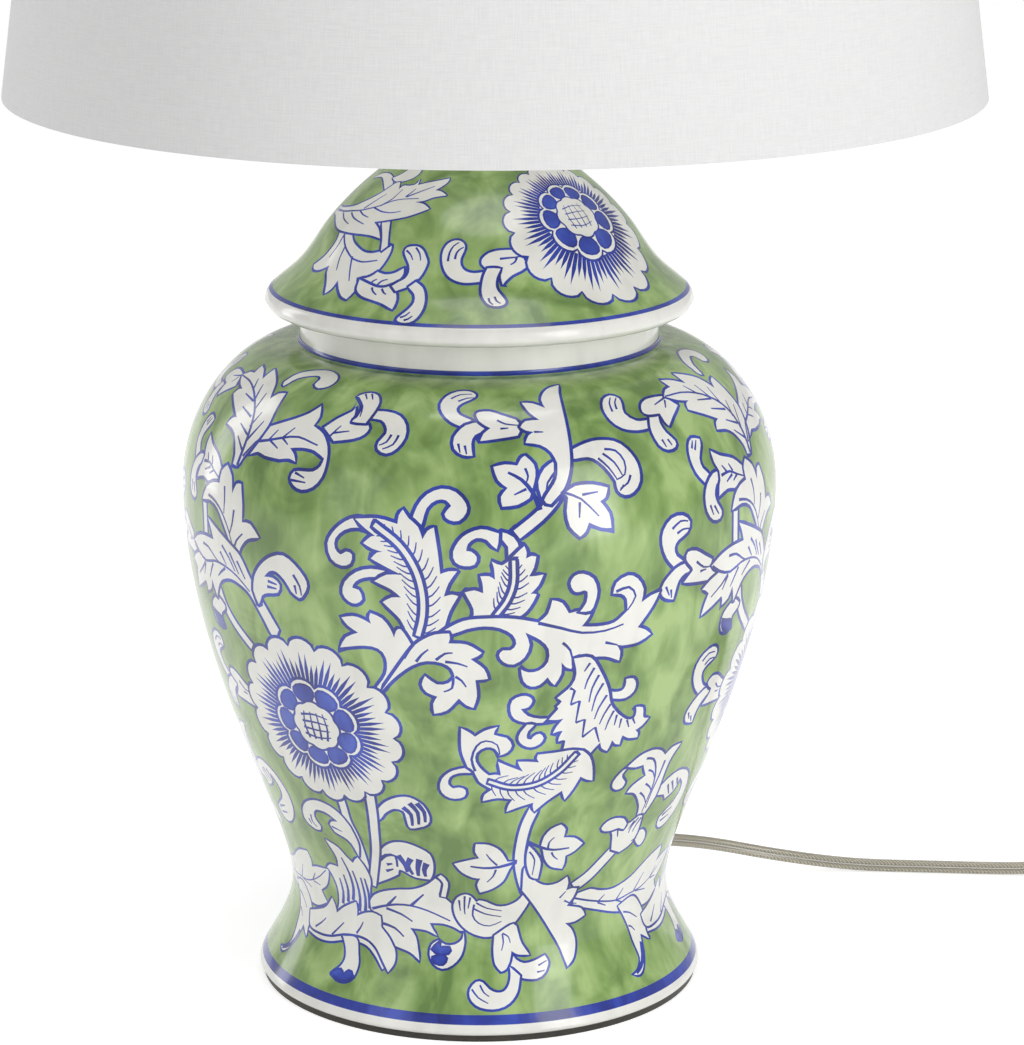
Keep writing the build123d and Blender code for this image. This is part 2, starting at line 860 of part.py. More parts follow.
with BuildPart() as socket_body:
    with BuildSketch(Plane.XY.offset(body_z)):
        Circle(liner_bore_radius - socket_gap)
    extrude(amount=socket_flange_height)
    with BuildSketch(Plane.XY.offset(body_z + socket_flange_height)):
        Circle(socket_body_radius)
    extrude(amount=socket_body_height - socket_flange_height)
    with BuildSketch(switch_plane):
        Circle(shaft_radius + shaft_clearance)
    extrude(amount=socket_body_radius, mode=Mode.SUBTRACT)
    with BuildSketch(terminal_plane_right, terminal_plane_left):
        Circle(terminal_shank_radius + fit_gap)
    extrude(amount=-(terminal_shank_length + fit_gap), mode=Mode.SUBTRACT)
save(socket_body.part, "socket_body")

with BuildPart() as terminal_screws:
    with BuildSketch(terminal_plane_right, terminal_plane_left):
        Circle(terminal_shank_radius)
    extrude(amount=-terminal_shank_length)
    with BuildSketch(terminal_plane_right, terminal_plane_left):
        Circle(terminal_head_radius)
    extrude(amount=terminal_head_height)
save(terminal_screws.part, "terminal_screws")

save(
    rings(
        [body_top_z],
        screw_shell_bore_radius + screw_shell_wall,
        screw_shell_bore_radius,
        screw_shell_height,
    ),
    "screw_shell",
)

with BuildPart() as centre_contact:
    with BuildSketch(Plane.XY.offset(body_top_z)):
        Circle(contact_radius)
    extrude(amount=contact_height)
    fillet(centre_contact.edges().sort_by(Axis.Z)[-1], contact_radius / 4)
save(centre_contact.part, "centre_contact")

# --- Switch --------------------------------------------------------------------------------
shaft_start = socket_body_radius - shaft_depth
shaft_end = shaft_start + shaft_length

with BuildPart() as switch_shaft:
    with BuildSketch(switch_plane.offset(shaft_start)):
        Circle(shaft_radius)
    extrude(amount=shaft_length)
save(switch_shaft.part, "switch_shaft")

with BuildPart() as switch_knob:
    with BuildSketch(switch_plane.offset(shaft_end - knob_bore_depth)):
        Circle(knob_radius)
        with PolarLocations(knob_radius, knob_flute_count):
            Circle(knob_flute_radius, mode=Mode.SUBTRACT)
    extrude(amount=knob_length)
    with BuildSketch(switch_plane.offset(shaft_end - knob_bore_depth)):
        Circle(shaft_radius)
    extrude(amount=knob_bore_depth, mode=Mode.SUBTRACT)
save(switch_knob.part, "switch_knob")

# --- Bulb ----------------------------------------------------------------------------------
bulb_z = body_top_z + contact_height
insulator_z = bulb_z + bulb_button_height
bulb_cap_z = insulator_z + bulb_insulator_height
housing_z = bulb_cap_z + bulb_cap_height
dome_z = housing_z + bulb_housing_height
sphere_z = bulb_z + bulb_length - bulb_sphere_radius
dome_foot_radius = math.sqrt(bulb_sphere_radius**2 - (sphere_z - dome_z) ** 2)
dome_bore_radius = bulb_sphere_radius - bulb_dome_wall
dome_bore_foot = math.sqrt(dome_bore_radius**2 - (sphere_z - dome_z) ** 2)
housing_bore_radius = bulb_collar_radius - bulb_housing_wall

with BuildPart() as bulb_button:
    with BuildSketch(Plane.XY.offset(bulb_z)):
        Circle(bulb_button_radius)
    extrude(amount=bulb_button_height)
    fillet(bulb_button.edges().sort_by(Axis.Z)[0], bulb_button_height / 2)
save(bulb_button.part, "bulb_button")

with BuildPart() as bulb_insulator:
    with BuildSketch(Plane.XY.offset(insulator_z)):
        Circle(bulb_button_radius)
    with BuildSketch(Plane.XY.offset(bulb_cap_z)):
        Circle(bulb_insulator_radius)
    loft(ruled=True)
save(bulb_insulator.part, "bulb_insulator")

thread_foot_z = bulb_cap_z + (bulb_cap_height - bulb_thread_count * bulb_thread_pitch) / 2
thread_root_radius = bulb_cap_radius - bulb_thread_depth
with BuildPart() as bulb_cap:
    with BuildSketch(viewer_plane):
        with BuildLine():
            Polyline(
                (0, housing_z),
                (0, bulb_cap_z),
                (bulb_insulator_radius, bulb_cap_z),
                (thread_root_radius, thread_foot_z),
            )
            for thread_index in range(bulb_thread_count):
                crest_z = thread_foot_z + thread_index * bulb_thread_pitch
                ThreePointArc(
                    (thread_root_radius, crest_z),
                    (bulb_cap_radius, crest_z + bulb_thread_pitch / 2),
                    (thread_root_radius, crest_z + bulb_thread_pitch),
                )
            Polyline(
                (thread_root_radius, thread_foot_z + bulb_thread_count * bulb_thread_pitch),
                (bulb_cap_radius, housing_z),
                (0, housing_z),
            )
        make_face()
    revolve(axis=Axis.Z)
save(bulb_cap.part, "bulb_cap")

with BuildPart() as bulb_housing:
    with BuildSketch(viewer_plane):
        with BuildLine():
            Polyline(
                (0, housing_z + bulb_housing_wall),
                (0, housing_z),
                (bulb_collar_radius, housing_z),
            )
            Bezier(
                (bulb_collar_radius, housing_z),
                (bulb_collar_radius, housing_z + bulb_housing_height / 2),
                (dome_foot_radius - bulb_collar_radius / 3, dome_z - bulb_housing_height / 4),
                (dome_foot_radius, dome_z),
            )
            Line((dome_foot_radius, dome_z), (dome_bore_foot, dome_z))
            Bezier(
                (dome_bore_foot, dome_z),
                (dome_bore_foot - bulb_collar_radius / 3, dome_z - bulb_housing_height / 4),
                (housing_bore_radius, housing_z + bulb_housing_height / 2),
                (housing_bore_radius, housing_z + bulb_housing_wall),
            )
            Line(
                (housing_bore_radius, housing_z + bulb_housing_wall),
                (0, housing_z + bulb_housing_wall),
            )
        make_face()
    revolve(axis=Axis.Z)
save(bulb_housing.part, "bulb_housing")

with BuildPart() as led_plate:
    with BuildSketch(Plane.XY.offset(dome_z)):
        Circle(dome_bore_foot - led_plate_gap)
    extrude(amount=led_plate_thickness)
save(led_plate.part, "led_plate")

with BuildPart() as bulb_dome:
    with BuildSketch(viewer_plane):
        with BuildLine():
            ThreePointArc(
                (dome_foot_radius, dome_z),
                (bulb_sphere_radius, sphere_z),
                (0, sphere_z + bulb_sphere_radius),
            )
            Line((0, sphere_z + bulb_sphere_radius), (0, sphere_z + dome_bore_radius))
            ThreePointArc(
                (0, sphere_z + dome_bore_radius),
                (dome_bore_radius, sphere_z),
                (dome_bore_foot, dome_z),
            )
            Line((dome_bore_foot, dome_z), (dome_foot_radius, dome_z))
        make_face()
    revolve(axis=Axis.Z)
save(bulb_dome.part, "bulb_dome")

# --- Cord inside the lamp ------------------------------------------------------------------
cord_radius = cord_width / 2


def corner_radius(before, corner, after):
    """Largest comfortable arc at a corner: 0.45 of the shorter run over tan(half the turn)."""
    run_in = Vector(*corner) - Vector(*before)
    run_out = Vector(*after) - Vector(*corner)
    half_turn = math.radians(run_in.get_angle(run_out) / 2)
    return 0.45 * min(run_in.length, run_out.length) / math.tan(half_turn)


def check_tube(name, tube, path):
    """Print a tube's length and how its volume compares with its section times its length."""
    expected = math.pi * cord_radius**2 * path.length
    print(f"{name}: length {path.length:.1f}, volume share {tube.volume / expected:.4f}")


with BuildPart() as cord_bushing:
    with BuildSketch(bushing_plane):
        Circle(bushing_radius)
        Circle(cord_radius + bushing_bore_clearance, mode=Mode.SUBTRACT)
    extrude(amount=-bushing_length)
save(cord_bushing.part, "cord_bushing")

# The lead drops from the cord hole to just above the pad, then turns up into the rod.
lead_low_z = rod_bottom_z - inner_bend_radius - fit_gap
lead_points = [
    polar(bushing_reach, cord_exit_angle, cord_exit_z),
    polar(bushing_reach - 2.2 * bushing_length, cord_exit_angle, cord_exit_z),
    polar(1.6 * inner_bend_radius, cord_exit_angle, lead_low_z),
    (0, 0, lead_low_z),
    (0, 0, body_z - spoke_gap),
]
with BuildPart() as cord_lead:
    with BuildLine() as lead_path:
        FilletPolyline(
            *lead_points, radius=[2 * inner_bend_radius, inner_bend_radius, inner_bend_radius]
        )
    with BuildSketch(Plane(origin=lead_path.line @ 0, z_dir=lead_path.line % 0)):
        Circle(cord_radius)
    sweep()
check_tube("cord_lead", cord_lead.part, lead_path.wires()[0])
save(cord_lead.part, "cord_lead")

# --- Cord on the table ---------------------------------------------------------------------
# Points chosen by hand: out of the foot, down to the table, along it and into the coil.
run_points = [
    polar(bushing_reach, cord_exit_angle, cord_exit_z),
    polar(bushing_reach + 5 * cord_width, cord_exit_angle, cord_exit_z),
    (100.0, 101.0, 16.0),
    (130.0, 108.0, 7.8),
    (163.0, 109.5, 2.8),
    (196.0, 107.0, 2.8),
    (224.0, 104.6, 2.9),
    (241.0, 103.6, 3.3),
    (259.0, 109.7, 3.8),
    (271.0, 121.7, 3.8),
]
run_radii = [corner_radius(*run_points[i : i + 3]) for i in range(len(run_points) - 2)]
print("cord_run radii:", " ".join(f"{radius:.0f}" for radius in run_radii))

with BuildPart() as cord_run:
    with BuildLine() as run_path:
        FilletPolyline(*run_points, radius=run_radii)
    with BuildSketch(Plane(origin=run_path.line @ 0, z_dir=run_path.line % 0)):
        Circle(cord_radius)
    sweep()
check_tube("cord_run", cord_run.part, run_path.wires()[0])
save(cord_run.part, "cord_run")

# The rest is wound into a coil of two layers: in on the table, up, and out again on top.
coil_low_z = run_points[-1][2]
coil_high_z = coil_low_z + cord_width + coil_layer_gap
half_turn_step = (cord_width + coil_turn_gap) / 2
coil_outer_radius = coil_inner_radius + coil_half_turns * half_turn_step
entry = polar(coil_outer_radius, coil_entry_angle, 0)
coil_centre = (run_points[-1][0] - entry[0], run_points[-1][1] - entry[1])


def coil_radius(step):
    """Radius of the coil at a half turn, counted from where the cord comes in."""
    if step <= coil_half_turns:
        return coil_outer_radius - step * half_turn_step
    if step == coil_half_turns + 1:
        return coil_inner_radius - coil_climb_inset
    return coil_inner_radius + (step - coil_half_turns - 1) * half_turn_step


def coil_stop(step):
    """Point and clockwise direction of the cord at a half turn of the coil."""
    angle = math.radians(coil_entry_angle - 180 * step)
    radius = coil_radius(step)
    height = coil_low_z if step <= coil_half_turns else coil_high_z
    point = Vector(
        coil_centre[0] + radius * math.cos(angle),
        coil_centre[1] + radius * math.sin(angle),
        height,
    )
    return point, Vector(math.sin(angle), -math.cos(angle), 0)


coil_steps = 2 * coil_half_turns + 1
with BuildPart() as cord_coil:
    with BuildLine() as coil_path:
        for step in range(coil_steps):
            start, heading = coil_stop(step)
            end, end_heading = coil_stop(step + 1)
            reach = (end - start).length / 2
            middle = (start + heading * reach + end - end_heading * reach) * 0.5
            middle_heading = (end - end_heading * reach) - (start + heading * reach)
            TangentArc(start, middle, tangent=heading)
            TangentArc(middle, end, tangent=middle_heading)
        coil_end, tail_heading = coil_stop(coil_steps)
        tail_end = coil_end + tail_heading * coil_tail
        Line(coil_end, tail_end)
    with BuildSketch(Plane(origin=coil_path.line @ 0, z_dir=coil_path.line % 0)):
        Circle(cord_radius)
    sweep()
check_tube("cord_coil", cord_coil.part, coil_path.wires()[0])
save(cord_coil.part, "cord_coil")

# Least gap of the coil to itself, on points along its path.
coil_wire = coil_path.wires()[0]
sample_count = 700
coil_samples = [coil_wire @ (i / sample_count) for i in range(sample_count + 1)]
skip = int(3 * cord_width / (coil_wire.length / sample_count))
least_gap = min(
    (coil_samples[i] - coil_samples[j]).length - cord_width
    for i in range(sample_count + 1)
    for j in range(i + skip, sample_count + 1)
)
cord_total = run_path.wires()[0].length + coil_wire.length
print(f"cord_coil: least gap {least_gap:.2f}, free cord {cord_total:.0f}")

# Two bands hold the coil; it rests on them, so their undersides lie on the table.
tie_window_z = coil_low_z - cord_radius - tie_gap / 2
tie_window_top_z = coil_high_z + cord_radius + tie_gap
tie_sides = [
    (
        coil_entry_angle - 90,
        coil_inner_radius,
        coil_outer_radius - half_turn_step / 2,
    ),
    (
        coil_entry_angle + 90,
        coil_inner_radius - coil_climb_inset,
        coil_outer_radius - 3 * half_turn_step / 2,
    ),
]
with BuildPart() as coil_ties:
    for tie_angle, first_loop, last_loop in tie_sides:
        inner_reach = first_loop - cord_radius - tie_gap
        outer_reach = last_loop + cord_radius + tie_gap
        middle_reach = (inner_reach + outer_reach) / 2
        window_width = outer_reach - inner_reach
        window_height = tie_window_top_z - tie_window_z
        tie_centre = polar(middle_reach, tie_angle, (tie_window_z + tie_window_top_z) / 2)
        tie_plane = Plane(
            origin=(coil_centre[0] + tie_centre[0], coil_centre[1] + tie_centre[1], tie_centre[2]),
            x_dir=polar(1, tie_angle, 0),
            z_dir=polar(1, tie_angle - 90, 0),
        )
        with BuildSketch(tie_plane):
            RectangleRounded(
                window_width + 2 * tie_thickness, window_height + 2 * tie_thickness, cord_radius
            )
            RectangleRounded(
                window_width, window_height, cord_radius - tie_thickness, mode=Mode.SUBTRACT
            )
        extrude(amount=tie_width / 2, both=True)
save(coil_ties.part, "coil_ties")

# --- Plug ----------------------------------------------------------------------------------
plug_plane = Plane(
    origin=tail_end, x_dir=(-tail_heading.Y, tail_heading.X, 0), z_dir=tail_heading
)
plug_height = 2 * coil_high_z
body_start = plug_relief_length
body_face = body_start + plug_length

with BuildPart() as plug_body:
    with BuildSketch(plug_plane):
        Circle(plug_relief_start_radius)
    with BuildSketch(plug_plane.offset(body_start)):
        Circle(plug_relief_end_radius)
    loft(ruled=True)
    with BuildSketch(plug_plane.offset(body_start)):
        RectangleRounded(plug_width / 2, plug_height / 2, plug_corner)
    with BuildSketch(plug_plane.offset(body_start + plug_shoulder_length)):
        RectangleRounded(plug_width, plug_height, plug_corner)
    loft(ruled=True)
    with BuildSketch(plug_plane.offset(body_start + plug_shoulder_length)):
        RectangleRounded(plug_width, plug_height, plug_corner)
    extrude(amount=plug_length - plug_shoulder_length)
save(plug_body.part, "plug_body")

with BuildPart() as plug_blades:
    with BuildSketch(plug_plane.offset(body_face)):
        with Locations((-blade_spacing / 2, 0), (blade_spacing / 2, 0)):
            Rectangle(blade_thickness, blade_width)
    extrude(amount=blade_length)
    crossways = plug_blades.edges().filter_by(Axis((0, 0, 0), plug_plane.x_dir))
    chamfer(crossways.sort_by(Axis(tail_end, tail_heading))[-4:], blade_tip_round)
    hole_plane = Plane(
        origin=tail_end + tail_heading * (body_face + blade_length * 0.7),
        x_dir=tail_heading,
        z_dir=plug_plane.x_dir,
    )
    with BuildSketch(hole_plane):
        Circle(blade_hole_radius)
    extrude(amount=blade_spacing, both=True, mode=Mode.SUBTRACT)
save(plug_blades.part, "plug_blades")
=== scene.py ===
"""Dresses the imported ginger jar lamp: its painted jar and lid, cloth shade, metalwork and cord."""

import logging
import math
from dataclasses import dataclass
from enum import Enum

import bmesh
import bpy
import numpy as np
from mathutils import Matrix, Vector
from mathutils.geometry import delaunay_2d_cdt


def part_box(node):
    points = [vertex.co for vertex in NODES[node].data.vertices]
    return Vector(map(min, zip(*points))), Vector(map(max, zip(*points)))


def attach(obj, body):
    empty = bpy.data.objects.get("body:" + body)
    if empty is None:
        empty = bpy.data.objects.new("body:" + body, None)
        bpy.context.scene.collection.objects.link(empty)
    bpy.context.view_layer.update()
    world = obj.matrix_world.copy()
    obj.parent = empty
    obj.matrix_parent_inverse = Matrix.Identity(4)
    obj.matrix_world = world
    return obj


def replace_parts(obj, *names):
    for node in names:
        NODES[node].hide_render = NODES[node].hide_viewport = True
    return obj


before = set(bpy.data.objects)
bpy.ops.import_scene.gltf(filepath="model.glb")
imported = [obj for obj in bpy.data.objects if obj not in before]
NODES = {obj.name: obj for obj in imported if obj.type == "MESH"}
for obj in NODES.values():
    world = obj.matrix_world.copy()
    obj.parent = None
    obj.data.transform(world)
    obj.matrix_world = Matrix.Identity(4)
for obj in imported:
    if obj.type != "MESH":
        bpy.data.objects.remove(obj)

log = logging.getLogger("lamp")
MM = 0.001
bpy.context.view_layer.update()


class Pick(Enum):
    """Which socket of a Mix node an input goes to when it mixes colours."""

    FACTOR = 0
    FIRST = 6
    SECOND = 7


def linear(red: float, green: float, blue: float) -> tuple[float, float, float, float]:
    """Turns a screen colour into the light it stands for.

    Args:
        red, green, blue: Levels from 0 to 255.

    Returns:
        The linear colour, with full alpha.
    """
    levels = [level / 255 for level in (red, green, blue)]
    light = [v / 12.92 if v <= 0.04045 else ((v + 0.055) / 1.055) ** 2.4 for v in levels]
    return (*light, 1.0)


# --- Finishes ------------------------------------------------------------------------------


class Shader:
    """One material's node tree, with short calls that make and join its nodes."""

    def __init__(self, name: str) -> None:
        """Starts a material with a Principled surface.

        Args:
            name: The material's name.
        """
        self.material = bpy.data.materials.new(name)
        self.material.use_nodes = True
        self.tree = self.material.node_tree
        self.tree.nodes.clear()
        self.output = self.add("ShaderNodeOutputMaterial")
        self.surface = self.add("ShaderNodeBsdfPrincipled")
        self.tree.links.new(self.surface.outputs["BSDF"], self.output.inputs["Surface"])

    def add(self, kind: str, inputs: dict | None = None, **settings) -> bpy.types.Node:
        """Makes a node.

        Args:
            kind: Blender's name for the node type.
            inputs: Values or sockets by input name or index.
            settings: Properties of the node.

        Returns:
            The node.
        """
        node = self.tree.nodes.new(kind)
        for key, value in settings.items():
            setattr(node, key, value)
        self.feed(node, inputs or {})
        return node

    def feed(self, node: bpy.types.Node, inputs: dict) -> None:
        """Sets a node's inputs, by link for a socket and by value for anything else."""
        for key, value in inputs.items():
            if isinstance(value, bpy.types.NodeSocket):
                self.tree.links.new(value, node.inputs[key])
            else:
                node.inputs[key].default_value = value

    def set(self, **inputs) -> None:
        """Sets the surface's inputs, with _ in a name for a space."""
        self.feed(self.surface, {key.replace("_", " "): value for key, value in inputs.items()})

    def place(self) -> bpy.types.NodeSocket:
        """The point on the piece, in metres."""
        return self.add("ShaderNodeTexCoord").outputs["Object"]

    def stretched(self, scale: tuple[float, float, float]) -> bpy.types.NodeSocket:
        """The point on the piece, multiplied along each axis."""
        return self.add("ShaderNodeMapping", {"Vector": self.place(), "Scale": scale}).outputs[0]

    def noise(
        self,
        scale: float,
        detail: float = 2.0,
        vector: bpy.types.NodeSocket | None = None,
        distortion: float = 0.0,
    ) -> bpy.types.NodeSocket:
        """Cloudy noise.

        Args:
            scale: Blotches per metre.
            detail: Octaves.
            vector: Where it is read, or None for the point on the piece.
            distortion: How far the blotches swirl.

        Returns:
            A level from 0 to 1.
        """
        inputs = {
            "Vector": vector or self.place(),
            "Scale": scale,
            "Detail": detail,
            "Distortion": distortion,
        }
        return self.add("ShaderNodeTexNoise", inputs).outputs[0]

    def between(self, level: bpy.types.NodeSocket, low: float, high: float) -> bpy.types.NodeSocket:
        """Spreads a level that lies from low to high over 0 to 1, and clips the rest."""
        return self.add(
            "ShaderNodeMapRange", {"Value": level, "From Min": low, "From Max": high}
        ).outputs[0]

    def scaled(self, level: bpy.types.NodeSocket, low: float, high: float) -> bpy.types.NodeSocket:
        """Turns a level from 0 to 1 into one from low to high."""
        return self.add(
            "ShaderNodeMapRange", {"Value": level, "To Min": low, "To Max": high}
        ).outputs[0]

    def math(self, kind: str, first, second=0.0) -> bpy.types.NodeSocket:
        """One sum of two numbers or sockets."""
        return self.add("ShaderNodeMath", {0: first, 1: second}, operation=kind).outputs[0]

    def blend(self, level, first, second) -> bpy.types.NodeSocket:
        """Mixes two colours by a level."""
        inputs = {Pick.FACTOR.value: level, Pick.FIRST.value: first, Pick.SECOND.value: second}
        return self.add("ShaderNodeMix", inputs, data_type="RGBA").outputs[2]

    def raised(self, height, strength: float, distance: float, normal=None) -> bpy.types.NodeSocket:
        """Bump from a height.

        Args:
            height: The level that is raised.
            strength: Its share, from 0 to 1.
            distance: The height of level 1, in metres.
            normal: A bump under this one.

        Returns:
            The bumped normal.
        """
        inputs = {"Height": height, "Strength": strength, "Distance": distance}
        if normal is not None:
            inputs["Normal"] = normal
        return self.add("ShaderNodeBump", inputs).outputs[0]


@dataclass(frozen=True)
class Metal:
    """Plated, brushed or plain metal with fine scratches and slight cloudiness."""

    name: str
    colour: tuple[float, float, float]
    shadow: tuple[float, float, float]
    roughness: float = 0.22
    scratch: tuple[float, float, float] = (900.0, 900.0, 40.0)
    depth: float = 0.00001

    def build(self) -> bpy.types.Material:
        """Makes the material."""
        shader = Shader(self.name)
        cloud = shader.noise(55, 3)
        scratches = shader.noise(1.0, 2, shader.stretched(self.scratch))
        shader.set(
            Base_Color=shader.blend(
                shader.between(cloud, 0.3, 0.75), linear(*self.shadow), linear(*self.colour)
            ),
            Metallic=1.0,
            Roughness=shader.scaled(scratches, self.roughness * 0.75, self.roughness * 1.3),
            Normal=shader.raised(scratches, 0.25, self.depth),
        )
        return shader.material


@dataclass(frozen=True)
class Moulded:
    """Moulded plastic, card, felt or rubber: a base colour with mottling and a fine surface."""

    name: str
    colour: tuple[float, float, float]
    mottle: tuple[float, float, float]
    roughness: float = 0.45
    grain: float = 900.0
    depth: float = 0.00003
    clear: float = 0.0
    sheen: float = 0.0

    def build(self) -> bpy.types.Material:
        """Makes the material."""
        shader = Shader(self.name)
        mottling = shader.noise(self.grain / 8, 3)
        grain = shader.noise(self.grain, 2)
        shader.set(
            Base_Color=shader.blend(mottling, linear(*self.colour), linear(*self.mottle)),
            Roughness=shader.scaled(grain, self.roughness * 0.8, self.roughness * 1.2),
            Normal=shader.raised(grain, 0.4, self.depth),
            Transmission_Weight=self.clear,
            Sheen_Weight=self.sheen,
        )
        return shader.material


@dataclass(frozen=True)
class Linen:
    """Plain-woven shade cloth: slubbed threads round the shade and up it."""

    name: str
    colour: tuple[float, float, float]
    shadow: tuple[float, float, float]
    radius: float = 0.174
    centre_x: float = 0.006
    thread: float = 0.0005
    depth: float = 0.00009

    def build(self) -> bpy.types.Material:
        """Makes the material."""
        shader = Shader(self.name)
        split = shader.add("ShaderNodeSeparateXYZ", {0: shader.place()}).outputs
        across = shader.math("SUBTRACT", split[0], self.centre_x)
        turn = shader.math("ARCTAN2", across, shader.math("MULTIPLY", split[1], -1.0))
        around = shader.math("MULTIPLY", turn, self.radius)
        cloth = shader.add("ShaderNodeCombineXYZ", {0: around, 1: split[2]}).outputs[0]

        def threads(along: tuple[float, float, float]) -> bpy.types.NodeSocket:
            """Uneven threads, long where along is small."""
            where = shader.add("ShaderNodeMapping", {"Vector": cloth, "Scale": along}).outputs[0]
            return shader.noise(1.0, 2, where)

        pitch = 1 / self.thread
        weft = threads((pitch * 0.07, pitch, 1.0))
        warp = threads((pitch, pitch * 0.06, 1.0))
        slub = threads((22.0, 520.0, 1.0))
        waves = []
        for level in (around, split[2]):
            wave = shader.math("SINE", shader.math("MULTIPLY", level, math.tau * pitch / 1.25))
            waves.append(shader.scaled(wave, 0.0, 0.5))
        checks = shader.math("MULTIPLY", waves[0], waves[1])
        weave = shader.math("ADD", shader.math("ADD", weft, warp), checks)
        uneven = shader.math("ADD", weave, shader.math("MULTIPLY", slub, 0.25))
        shader.set(
            Base_Color=shader.blend(
                shader.between(uneven, 0.7, 1.8), linear(*self.shadow), linear(*self.colour)
            ),
            Roughness=0.9,
            Sheen_Weight=0.15,
            Normal=shader.raised(uneven, 0.4, self.depth),
        )
        return shader.material


class Metals(Enum):
    """The lamp's metals."""

    NICKEL = Metal("brushed_nickel", (196, 193, 188), (160, 157, 152), 0.3)
    BRIGHT = Metal("polished_nickel", (222, 220, 216), (190, 188, 184), 0.14)
    ZINC = Metal("zinc_plate", (176, 176, 170), (138, 138, 132), 0.38, (500.0, 500.0, 500.0))
    BRASS = Metal("yellow_brass", (205, 172, 96), (172, 138, 70), 0.28)
    CAP = Metal("bulb_shell", (208, 208, 206), (178, 178, 176), 0.3)


class Mouldings(Enum):
    """The lamp's plastics, card, rubber and felt."""

    WIRE = Moulded("white_coated_wire", (232, 231, 228), (222, 221, 217), 0.4)
    LINING = Moulded("styrene_lining", (240, 240, 238), (228, 228, 224), 0.5, 300.0, 0.00002)
    FELT = Moulded("dark_felt", (70, 67, 60), (48, 46, 41), 0.95, 1800.0, 0.0003, sheen=0.4)
    RUBBER = Moulded("black_rubber", (34, 34, 34), (24, 24, 24), 0.7)
    CARD = Moulded("insulating_card", (166, 140, 104), (146, 120, 86), 0.85, 1400.0)
    PHENOLIC = Moulded("brown_phenolic", (46, 34, 26), (32, 24, 18), 0.35)
    KNOB = Moulded("black_knob", (26, 26, 27), (18, 18, 19), 0.3, 500.0)
    HOUSING = Moulded("bulb_housing_white", (238, 237, 233), (230, 229, 224), 0.35, 400.0)
    DIFFUSER = Moulded("bulb_diffuser", (246, 246, 242), (240, 240, 235), 0.42, 500.0, 0.00001)
    INSULATOR = Moulded("bulb_insulator", (28, 28, 30), (20, 20, 22), 0.3)
    BUSHING = Moulded("bushing_white", (226, 225, 219), (214, 213, 206), 0.45)
    TIE = Moulded("cord_tie", (236, 236, 232), (222, 222, 216), 0.5)


NODE_FINISHES: dict[Metals | Mouldings, tuple[str, ...]] = {
    Metals.NICKEL: (
        "spider_washer harp_bow harp_stud harp_sleeve_left harp_sleeve_right harp_saddle "
        "socket_cap socket_shell"
    ).split(),
    Metals.BRIGHT: "finial_base finial_ball vase_cap neck_tube check_ring".split(),
    Metals.ZINC: (
        "threaded_rod rod_nuts clamp_washers lock_washer set_screw switch_shaft"
    ).split(),
    Metals.BRASS: "screw_shell centre_contact terminal_screws plug_blades".split(),
    Metals.CAP: "bulb_button bulb_cap led_plate".split(),
    Mouldings.WIRE: "shade_top_ring shade_bottom_ring spider_spokes".split(),
    Mouldings.LINING: ["shade_liner"],
    Mouldings.FELT: ["foot_pad"],
    Mouldings.RUBBER: ["rubber_washers"],
    Mouldings.CARD: ["socket_liner"],
    Mouldings.PHENOLIC: ["socket_body"],
    Mouldings.KNOB: ["switch_knob"],
    Mouldings.HOUSING: ["bulb_housing"],
    Mouldings.DIFFUSER: ["bulb_dome"],
    Mouldings.INSULATOR: ["bulb_insulator"],
    Mouldings.BUSHING: ["cord_bushing"],
    Mouldings.TIE: ["coil_ties"],
}


def dress(node: str, material: bpy.types.Material) -> None:
    """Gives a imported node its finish, in every slot that it has.

    Args:
        node: The node's name.
        material: Its finish.
    """
    slots = NODES[node].material_slots
    if not slots:
        NODES[node].data.materials.append(material)
    for slot in NODES[node].material_slots:
        slot.material = material


def mesh_object(name: str, points, faces, materials, smooth: bool = True) -> bpy.types.Object:
    """Makes a mesh piece at the origin.

    Args:
        name: The piece's name.
        points: Its vertices, in metres.
        faces: Lists of vertex numbers.
        materials: Its materials.
        smooth: Whether it is smooth shaded.

    Returns:
        The linked object.
    """
    mesh = bpy.data.meshes.new(name)
    mesh.from_pydata([tuple(p) for p in points], [], [tuple(f) for f in faces])
    for material in materials:
        mesh.materials.append(material)
    if smooth:
        mesh.shade_smooth()
    piece = bpy.data.objects.new(name, mesh)
    bpy.context.scene.collection.objects.link(piece)
    return piece


# --- Camera, floor and lights --------------------------------------------------------------


